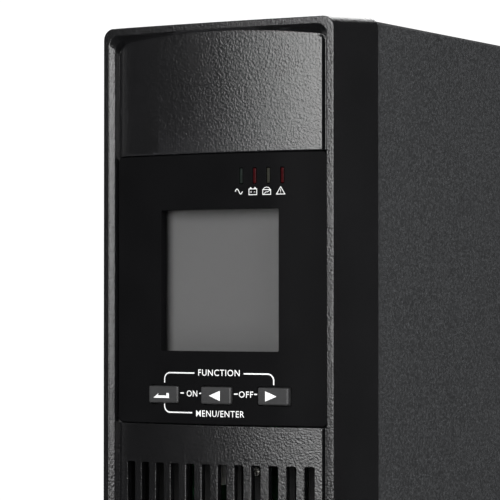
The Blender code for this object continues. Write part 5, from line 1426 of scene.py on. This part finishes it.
def cut_corners(width, height, chamfer, centre=(0, 0)):
    """A rectangle with its two upper corners cut."""
    w, h = width / 2, height / 2
    points = [(w, -h), (w, h - chamfer), (w - chamfer, h), (-w + chamfer, h), (-w, h - chamfer), (-w, -h)]
    return [(centre[0] + u, centre[1] + v) for u, v in points]


def socket_loop(width, height, chamfer, centre=(0, 0)):
    """The outline of an appliance coupler."""
    return open_ended(cut_corners(width, height, chamfer, centre), 0.9, 3)


def make_rear_panel():
    wall, fan = Box("rear_panel"), Box("fan_frame").middle

    def opening(node, width, height, radius=1):
        """A hole round a node's middle; u runs against x at the rear."""
        middle = Box(node).middle
        return rounded(width, height, radius, (-middle.x, middle.z), 3)

    breaker = Box("breaker").middle
    loops = [rounded(wall.size.x, wall.size.z, 1, (0, wall.middle.z), 3)]
    loops.append(circle(FAN_BORE, 64, (0, fan.z)))
    loops.append(opening("inlet_socket", 29, 21))
    loops.append(circle(6.6, 28, (-breaker.x, breaker.z)))
    for node in BANKS:
        bank = Box(node)
        loops.append(rounded(bank.size.x - 1.6, bank.size.z - 1.6, 1, (0, bank.middle.z), 3))
    for node in ("network_port", "epo_header", "usb_port"):
        port = Box(node)
        loops.append(opening(node, port.size.x + 0.6, port.size.z + 0.6, 0.6))
    loops.append(opening("serial_port", 17.8, 9.4, 0.6))
    loops.append(opening("slot_cover", 60, 30))
    place = at(REAR, 0, wall.low.y, 0)
    piece("back_panel", [slab(loops, 0, wall.size.y, 0.15)], "paint", "rear_panel", 40, place=place)
    screws = []
    for x in (-38.4, 38.4):
        screws += [screw(at(REAR, x, wall.high.y, z), 2.3, 1.5) for z in (13, 66, 208, 276, 332, 351)]
    piece("back_panel_screws", screws, "nickel")
    fan_screws = []
    for side_x, side_z in CORNERS:
        place = at(REAR, side_x * FAN_HOLES, wall.high.y, fan.z + side_z * FAN_HOLES)
        fan_screws.append(screw(place, 3.3, 2.0))
    piece("fan_screws", fan_screws, "dark_screw")


def make_outlets():
    depth = 15
    centres = [(u * OUTLET_U, v * OUTLET_V) for u, v in CORNERS]
    openings = [socket_loop(*COUPLER, centre) for centre in centres]
    for node in BANKS:
        bank = Box(node)
        outline = bank.outline(1, 3, -2.2)
        works = [
            slab([bank.outline(1.6, 4)] + openings, -2.2, 0, 0.5, 0.1, 3),
            slab([outline] + openings, -depth - 0.8, -1.0, 0.02),
            slab([outline], -bank.size.y, -depth - 0.6, 0.4),
        ]
        for u, v in centres:
            island = [socket_loop(20.1, 12.1, 3.15, (u, v))]
            for pin in (-1, 0, 1):
                rise = -1.5 if pin else 1.8
                island.append(rounded(2.2, 4.6, 0.3, (u + pin * 7, v + rise), 2))
            works.append(slab(island, -depth - 0.5, -1.2, 0.5, 0))
        place = bank.place(REAR, bank.high.y)
        piece(node + "_moulding", works, "socket", node, 35, place=place)


def make_inlet():
    inlet, depth = Box("inlet_socket"), 15
    place = inlet.place(REAR, inlet.high.y)
    opening = socket_loop(*COUPLER)
    shroud = rounded(28.5, 20.5, 1, (0, 0), 3)
    ears = [circle(1.7, 16, (side * INLET_EAR, 0)) for side in SIDES]
    works = [
        slab([rounded(50, 27.5, 4, (0, 0), 6), opening] + ears, -2.2, 0, 0.6, 0.1, 3),
        slab([shroud, opening], -depth - 1, -2, 0.05),
        slab([shroud], -inlet.size.y, -depth, 0.3),
    ]
    piece("inlet_moulding", works, "socket", "inlet_socket", 35, place=place)
    blades = []
    for u, v, tip in ((-7, -2, -3.4), (0, 1.4, -2.4), (7, -2, -3.4)):
        blades.append(slab([rounded(2, 4, 0.4, (u, v), 3)], -depth - 0.5, tip, 0.6, 0))
    piece("inlet_blades", blades, "nickel", sharp=35, place=place)
    screws = []
    for side in SIDES:
        ear = at(REAR, inlet.middle.x + side * INLET_EAR, inlet.high.y, inlet.middle.z)
        screws.append(screw(ear, 2.7, 1.3, rise=-0.2))
    piece("inlet_screws", screws, "nickel")


def make_breaker():
    breaker, button = Box("breaker"), Box("breaker_button")
    place = breaker.place(REAR, REAR_Y + GAP)
    body_top = Box("rear_panel").low.y - GAP
    thread = [(6.2, -4), (6.2, 0)]
    for turn in range(5):
        thread += [(6.2, 0.4 + turn * 0.8), (5.8, 0.8 + turn * 0.8)]
    thread += [(6.1, 4.4), (5.0, 4.5), (4.95, -4), (6.2, -4)]
    barrel = bmesh.new()
    ring_walls(barrel, [[(u, v, w) for u, v in circle(radius, 32)] for radius, w in thread])
    works = [box(breaker.low, (breaker.high.x, body_top, breaker.high.z), 0.8, 3)]
    works.append(moved(closed_up(barrel), place))
    piece("breaker_barrel", works, "socket", "breaker", 35)
    nut = slab([circle(8.9, 6), circle(6.3, 32)], 0, 2.5, 0.5, 0.1, 3)
    piece("breaker_nut", [nut], "nickel", sharp=35, place=place)
    length = button.size.y
    knob = [(4.2, 0), (4.2, length - 1), (3.9, length - 0.4), (3.3, length - 0.05)]
    knob += [(2.4, length - 0.2), (0, length - 0.4)]
    works = [turned(knob, button.place(REAR, button.low.y), 32)]
    look = {"sharp": 40, "body": "reset_button", "slot": "socket_plastic"}
    piece("breaker_reset_button", works, "lamp_red", "breaker_button", **look)


def cavity_shell(port, holes, depth, edge=0.25):
    """A port's block with blind holes, drawn as flat loops in the plane of its mouth."""
    outer = port.outline(0.6)
    front = slab([outer] + holes, -depth, 0, edge, 0.02)
    back = slab([outer], -port.size.y, -depth + 0.02, 0.02, 0.3)
    return [front, back]


def jack_hole(centre):
    """The mouth of a modular jack: a rectangle with a stepped slot for the latch below."""
    top, bottom = 4.3, -4.3
    right = [(2.0, bottom), (2.0, bottom + 1.0), (3.2, bottom + 1.0), (3.2, bottom + 2.2)]
    right += [(5.9, bottom + 2.2), (5.9, top)]
    return [(centre - u, v) for u, v in reversed(right)] + [(centre + u, v) for u, v in right]


def make_network_port():
    port = Box("network_port")
    place = port.place(REAR, port.high.y)
    centres = [side * 8.25 for side in SIDES]
    works = cavity_shell(port, [jack_hole(centre) for centre in centres], 13)
    piece("network_jacks", works, "socket", "network_port", place=place)
    contacts = []
    for centre in centres:
        for number in range(8):
            u = centre + (number - 3.5) * 1.02
            contacts.append(rod([(u, 4.2, -2.2), (u, 3.2, -3.6), (u, 1.2, -10)], 0.2, 6))
    piece("network_contacts", contacts, "gold", sharp=60, place=place)


def make_usb_port():
    port = Box("usb_port")
    place = port.place(REAR, port.high.y)
    works = cavity_shell(port, [cut_corners(8.4, 7.8, 1.6)], 9, 0.4)
    piece("usb_shell", works, "nickel", "usb_port", place=place)
    tongue = box((-2.8, -1.6, -9.2), (2.8, 1.6, -1))
    piece("usb_tongue", [tongue], "white_plastic", place=place)
    strips = []
    for side_u, side_v in CORNERS:
        u, v = side_u * 1.3, side_v * 1.6
        strips.append(box((u - 0.4, v - 0.1, -8), (u + 0.4, v + 0.1, -1.6), 0.05))
    piece("usb_contacts", strips, "gold", place=place)


def make_serial_port():
    port = Box("serial_port")
    face = REAR_Y + GAP
    place = port.place(REAR, face)

    def shell_loop(shrink):
        w, h, slope = 8.6 - shrink, 4.4 - shrink, 1.5
        return open_ended([(w - slope, -h), (w, h), (-w, h), (-w + slope, -h)], 1.6, 5)

    works = [
        slab([rounded(31, 12.5, 1.5)], 0, 1, 0.3),
        slab([shell_loop(0), shell_loop(0.45)], 0.5, 6, 0.15),
        slab([shell_loop(0.3)], -(face - port.low.y), 0.5, 0.1),
    ]
    piece("serial_shell", works, "nickel", "serial_port", 35, place=place)
    insert = slab([shell_loop(0.7)], 0.9, 1.8, 0.2)
    piece("serial_insert", [insert], "blue_plastic", sharp=35, place=place)
    pins, pin = [], [(0.5, 1.5), (0.5, 4.6), (0.3, 5.0), (0, 5.05)]
    for v, count in ((1.42, 5), (-1.42, 4)):
        for number in range(count):
            u = (number - (count - 1) / 2) * 2.74
            pins.append(turned(pin, Matrix.Translation((u, v, 0)), 12))
    piece("serial_pins", pins, "gold", sharp=40, place=place)
    nuts = []
    for side in SIDES:
        nut = slab([circle(2.6, 6), circle(1.3, 16)], 0.8, 6, 0.3)
        nuts.append(moved(nut, Matrix.Translation((side * 12.5, 0, 0))))
    piece("serial_jack_nuts", nuts, "nickel", place=place)


def make_emergency_port():
    """The header for remote power-off and the plug in it."""
    header, plug = Box("epo_header"), Box("epo_plug")
    works = cavity_shell(header, [rounded(10.5, 9, 0.3, (0, 0), 2)], 4.6)
    place = header.place(REAR, header.high.y)
    piece("epo_header_shell", works, "green_plastic", "epo_header", place=place)
    place = plug.place(REAR, plug.low.y)
    end = plug.size.y
    u, v = PLUG_SCREW
    holes = [circle(1.8, 20, (side * u, v)) for side in SIDES]
    holes += [rounded(3.2, 2.6, 0.3, (side * u, -3.0), 2) for side in SIDES]
    outline = rounded(12.5, 11, 0.7, (0, 0), 3)
    works = [
        slab([rounded(9.3, 7.8, 0.3, (0, 0), 2)], 0, end - 7.0, 0.3),
        slab([outline], 4.6, end - 3.3, 0.3, 0.3),
        slab([outline] + holes, end - 3.4, end, 0.3),
    ]
    piece("epo_plug_body", works, "green_plastic", "epo_plug", body="epo", place=place)
    heads = [screw(Matrix.Translation((side * u, v, end - 2.6)), 1.55, 0.9) for side in SIDES]
    piece("epo_plug_screws", heads, "nickel", body="epo", place=place)


def make_slot_cover():
    cover = Box("slot_cover")
    place = cover.place(REAR, cover.low.y)
    plate = slab([cover.outline(1.5, 4)], 0, SHEET, 0.25)
    half_width, rise = cover.size.x / 6, cover.size.y
    grip = slab([rounded(rise - 0.4, 1.2, 0.3, (-rise / 2 - 0.2, 0), 3)], -half_width, half_width, 0.2)
    works = [plate, moved(grip, Matrix.Rotation(math.pi / 2, 4, "Y"))]
    piece("card_slot_plate", works, "paint", "slot_cover", 35, place=place)
    knob = [(3.6, 0), (3.6, 0.4), (3.3, 0.6), (3.6, 0.8), (3.6, 3.2), (3.2, 3.7), (0, 3.75)]
    knobs = [turned(knob, Matrix.Translation((side * 31, 0, SHEET)), 14) for side in SIDES]
    piece("card_slot_thumbscrews", knobs, "nickel", sharp=20, place=place, weighted=False)


def make_ports():
    make_network_port()
    make_usb_port()
    make_serial_port()
    make_emergency_port()
    make_slot_cover()


# ---------------------------------------------------------------- fan


def fan_blade(inner, outer, start, chord, pitch, thickness):
    """A cambered blade about w that leads further and lies flatter towards its tip."""
    work, rings = bmesh.new(), []
    for step in range(7):
        share = step / 6
        radius = inner + (outer - inner) * share
        lead = start + 0.30 * share**1.4
        tilt = pitch * (1.12 - 0.35 * share)
        top, bottom = [], []
        for cell in range(9):
            s = cell / 8 - 0.5
            camber = 1.6 * (1 - 4 * s * s) - 0.8
            angle = lead + s * chord * math.cos(tilt) / radius
            half = thickness / 2 * math.sqrt(max(0.02, 1 - (2 * s) ** 4))
            for side, row in ((1, top), (-1, bottom)):
                w = s * chord * math.sin(tilt) + camber + side * half
                row.append((radius * math.cos(angle), radius * math.sin(angle), w))
        rings.append(top + bottom[::-1])
    rows = ring_walls(work, rings)
    work.faces.new(rows[0])
    work.faces.new(rows[-1])
    bmesh.ops.recalc_face_normals(work, faces=work.faces)
    return work


def make_fan_case():
    case = Box("fan_frame")
    depth = case.size.y
    bore = circle(FAN_BORE, 72)
    loops = [rounded(case.size.x, case.size.x, 4, (0, 0), 6), bore]
    loops += [circle(2.2, 16, (u * FAN_HOLES, v * FAN_HOLES)) for u, v in CORNERS]
    works = [slab(loops, start, end, 0.4) for start, end in ((0, 3.4), (depth - 3.4, depth))]
    works.append(slab([circle(39.6, 72), bore], 3.2, depth - 3.2, 0.02))
    motor = [(17.2, depth - 2.9), (18, depth - 2.2), (18, depth - 0.6), (17.4, depth), (0, depth)]
    works.append(turned(motor, Matrix.Identity(4), 48))
    for turn in range(4):
        strut = box((15, -2, depth - 2.7), (38.6, 2, depth - 0.3), 0.5)
        works.append(moved(strut, Matrix.Rotation(math.pi / 2 * turn, 4, "Z")))
    piece("fan_case", works, "fan", "fan_frame", 35, place=case.place(REAR, case.low.y))


def make_fan_rotor():
    """The rotor turns about the frame's middle, which isn't the middle of its own box."""
    rotor = Box("fan_rotor")
    length = rotor.size.y
    hub = [(0, 0.2), (14.5, 0.2), (16.6, 0.8), (17.8, 2.4), (18, 4), (18, length)]
    works = [turned(hub, Matrix.Identity(4), 48)]
    for start in angles(7):
        blade = fan_blade(17.2, 36.4, start, 22, math.radians(38), 1.5)
        works.append(moved(blade, Matrix.Translation((0, 0, length / 2))))
    place = Box("fan_frame").place(REAR, rotor.low.y)
    piece("fan_impeller", works, "fan", "fan_rotor", 40, "fan", place=place)


def make_fan_guard():
    guard = Box("fan_guard")
    wire, eye_radius, eye_reach = 0.72, 3.6, 50.56
    back = Vector((0, 0, -0.15))
    works = [rod([(u, v, 0.2) for u, v in circle(radius, 72)], wire, 8, True) for radius in (12, 20, 28, 36)]
    for turn in (1, 3, 5, 7):
        angle = math.pi / 4 * turn
        along = Vector((math.cos(angle), math.sin(angle), 0))
        across = Vector((-along.y, along.x, 0))
        works.append(rod([along * reach + back for reach in (10, 44, 46.9)], wire, 8))
        loop = []
        for a in angles(20):
            reach = eye_reach - eye_radius * math.cos(a)
            loop.append(along * reach + across * eye_radius * math.sin(a) + back)
        works.append(rod(loop, wire, 8, True))
    place = guard.place(REAR, guard.middle.y)
    piece("fan_finger_guard", works, "nickel", "fan_guard", 60, place=place, weighted=False)


# ---------------------------------------------------------------- tower stands


def make_stands():
    inner = COVER.high.x + GAP
    sole = COVER.low.z - GAP
    centre_x, floor_z, reach, toe, wall = 0.15, 0.6, 42, 4, 3
    tip = inner + wall + reach
    for place in ("front", "rear"):
        for hand, side in (("left", -1), ("right", 1)):
            node = "stand_%s_%s" % (place, hand)
            stand = Box(node)
            low, high = stand.low, stand.high
            slope = [Vector((tip, floor_z, 0))]
            for step in range(25):
                share = step / 24
                slope.append(Vector((tip - reach * share, toe + (high.z - toe) * share**2.4, 0)))
            slope.append(Vector((inner, high.z, 0)))
            slope = softened(slope, [1.2] + [0.0] * 23 + [1.2], 4)[1:-1]
            outline = [(centre_x, floor_z), (tip - 0.8, floor_z)]
            outline += [(point.x, point.y) for point in slope]
            outline += [(inner + 0.6, high.z), (inner, high.z - 0.6), (inner, sole), (centre_x, sole)]
            loop = [(side * x, z) for x, z in outline]
            works = [slab([loop], -high.y, -low.y, 1.1, steps=4)]
            piece(node + "_moulding", works, "stand", node, place=FRONT)
            pads, pad = [], [(5, 0.05), (5.2, 0.4), (5.2, 0.8)]
            for x in (14, 78):
                pads += [turned(pad, at(TOP, side * x, y, 0)) for y in (low.y + 9, high.y - 9)]
            piece(node + "_pads", pads, "rubber")


make_chassis()
make_front_wall()
make_cassette()
make_display_board()
make_main_board()
make_control_board()
make_ribbon()
make_power_parts()
make_rear_panel()
make_outlets()
make_inlet()
make_breaker()
make_ports()
make_fan_case()
make_fan_rotor()
make_fan_guard()
make_stands()

# ---------------------------------------------------------------- camera, light and floor


WHITE = (1, 1, 1, 1)


def make_camera():
    data = bpy.data.cameras.new("camera")
    data.lens = 190
    data.sensor_width = 36
    data.clip_end = 50
    camera = bpy.data.objects.new("camera", data)
    camera.location = Vector((432.7, FRONT_Y - 705.9, BEZEL_FACE_TOP - 88.9)) * MM
    camera.rotation_euler = (math.radians(91.19), 0, math.radians(30.7))
    bpy.context.scene.collection.objects.link(camera)
    bpy.context.scene.camera = camera


def soft_light(name, azimuth, elevation, distance, width, height, power):
    """A soft box, in metres, on the side of azimuth: 0 is in front of the object and 90 on its right."""
    target = Vector((0, 0, 0.33))
    a, e = math.radians(azimuth), math.radians(elevation)
    outward = Vector((math.sin(a) * math.cos(e), -math.cos(a) * math.cos(e), math.sin(e)))
    data = bpy.data.lights.new(name, "AREA")
    data.shape = "RECTANGLE"
    data.size, data.size_y = width, height
    data.energy = power
    light = bpy.data.objects.new(name, data)
    light.location = target + outward * distance
    light.rotation_mode = "QUATERNION"
    light.rotation_quaternion = outward.to_track_quat("Z", "Y")
    light.visible_camera = False
    bpy.context.scene.collection.objects.link(light)


def make_world():
    """White where the camera sees it, and a dim grey for everything else."""
    world = bpy.data.worlds.new("studio")
    world.use_nodes = True
    tree = world.node_tree
    tree.nodes.clear()
    output = tree.nodes.new("ShaderNodeOutputWorld")
    mix = tree.nodes.new("ShaderNodeMixShader")
    seen = tree.nodes.new("ShaderNodeLightPath")
    for socket, strength in ((1, 0.04), (2, 1.1)):
        shade = tree.nodes.new("ShaderNodeBackground")
        shade.inputs["Color"].default_value = WHITE
        shade.inputs["Strength"].default_value = strength
        tree.links.new(shade.outputs[0], mix.inputs[socket])
    tree.links.new(seen.outputs["Is Camera Ray"], mix.inputs[0])
    tree.links.new(mix.outputs[0], output.inputs["Surface"])
    bpy.context.scene.world = world


def make_floor():
    """A round pale floor, in metres, that fades out into the white surroundings."""
    work = bmesh.new()
    bmesh.ops.create_circle(work, cap_ends=True, radius=3.0, segments=96)
    mesh = bpy.data.meshes.new("floor")
    work.to_mesh(mesh)
    work.free()
    floor = bpy.data.objects.new("floor", mesh)
    floor.location.z = CAD_LOW.z - 0.1 * MM
    floor.visible_glossy = False
    bpy.context.scene.collection.objects.link(floor)
    n = Nodes("pale_floor")
    length = n.add("ShaderNodeVectorMath")
    length.operation = "LENGTH"
    n.link(n.coordinates, length.inputs[0])
    base = n.blend(n.noise(400, 3), (0.80, 0.80, 0.80), (0.84, 0.84, 0.84))
    n.drive(Base_Color=base, Alpha=n.span(length.outputs["Value"], 1, 0, 0.9, 2.6))
    n.fix("Roughness", 0.6)
    mesh.materials.append(n.material)


make_camera()
make_world()
make_floor()
soft_light("upper_front", 7, 17, 1.5, 1.15, 1.1, 38)
soft_light("upper_left", -22, 28, 1.5, 0.45, 0.9, 1.0)
soft_light("right_side", 75, 19, 1.3, 0.7, 1.0, 26)
soft_light("left_fill", -125, 30, 1.8, 0.8, 1.0, 8)
soft_light("rear_fill", 200, 35, 2.0, 1.2, 1.0, 14)
bpy.context.scene.view_settings.view_transform = "Standard"
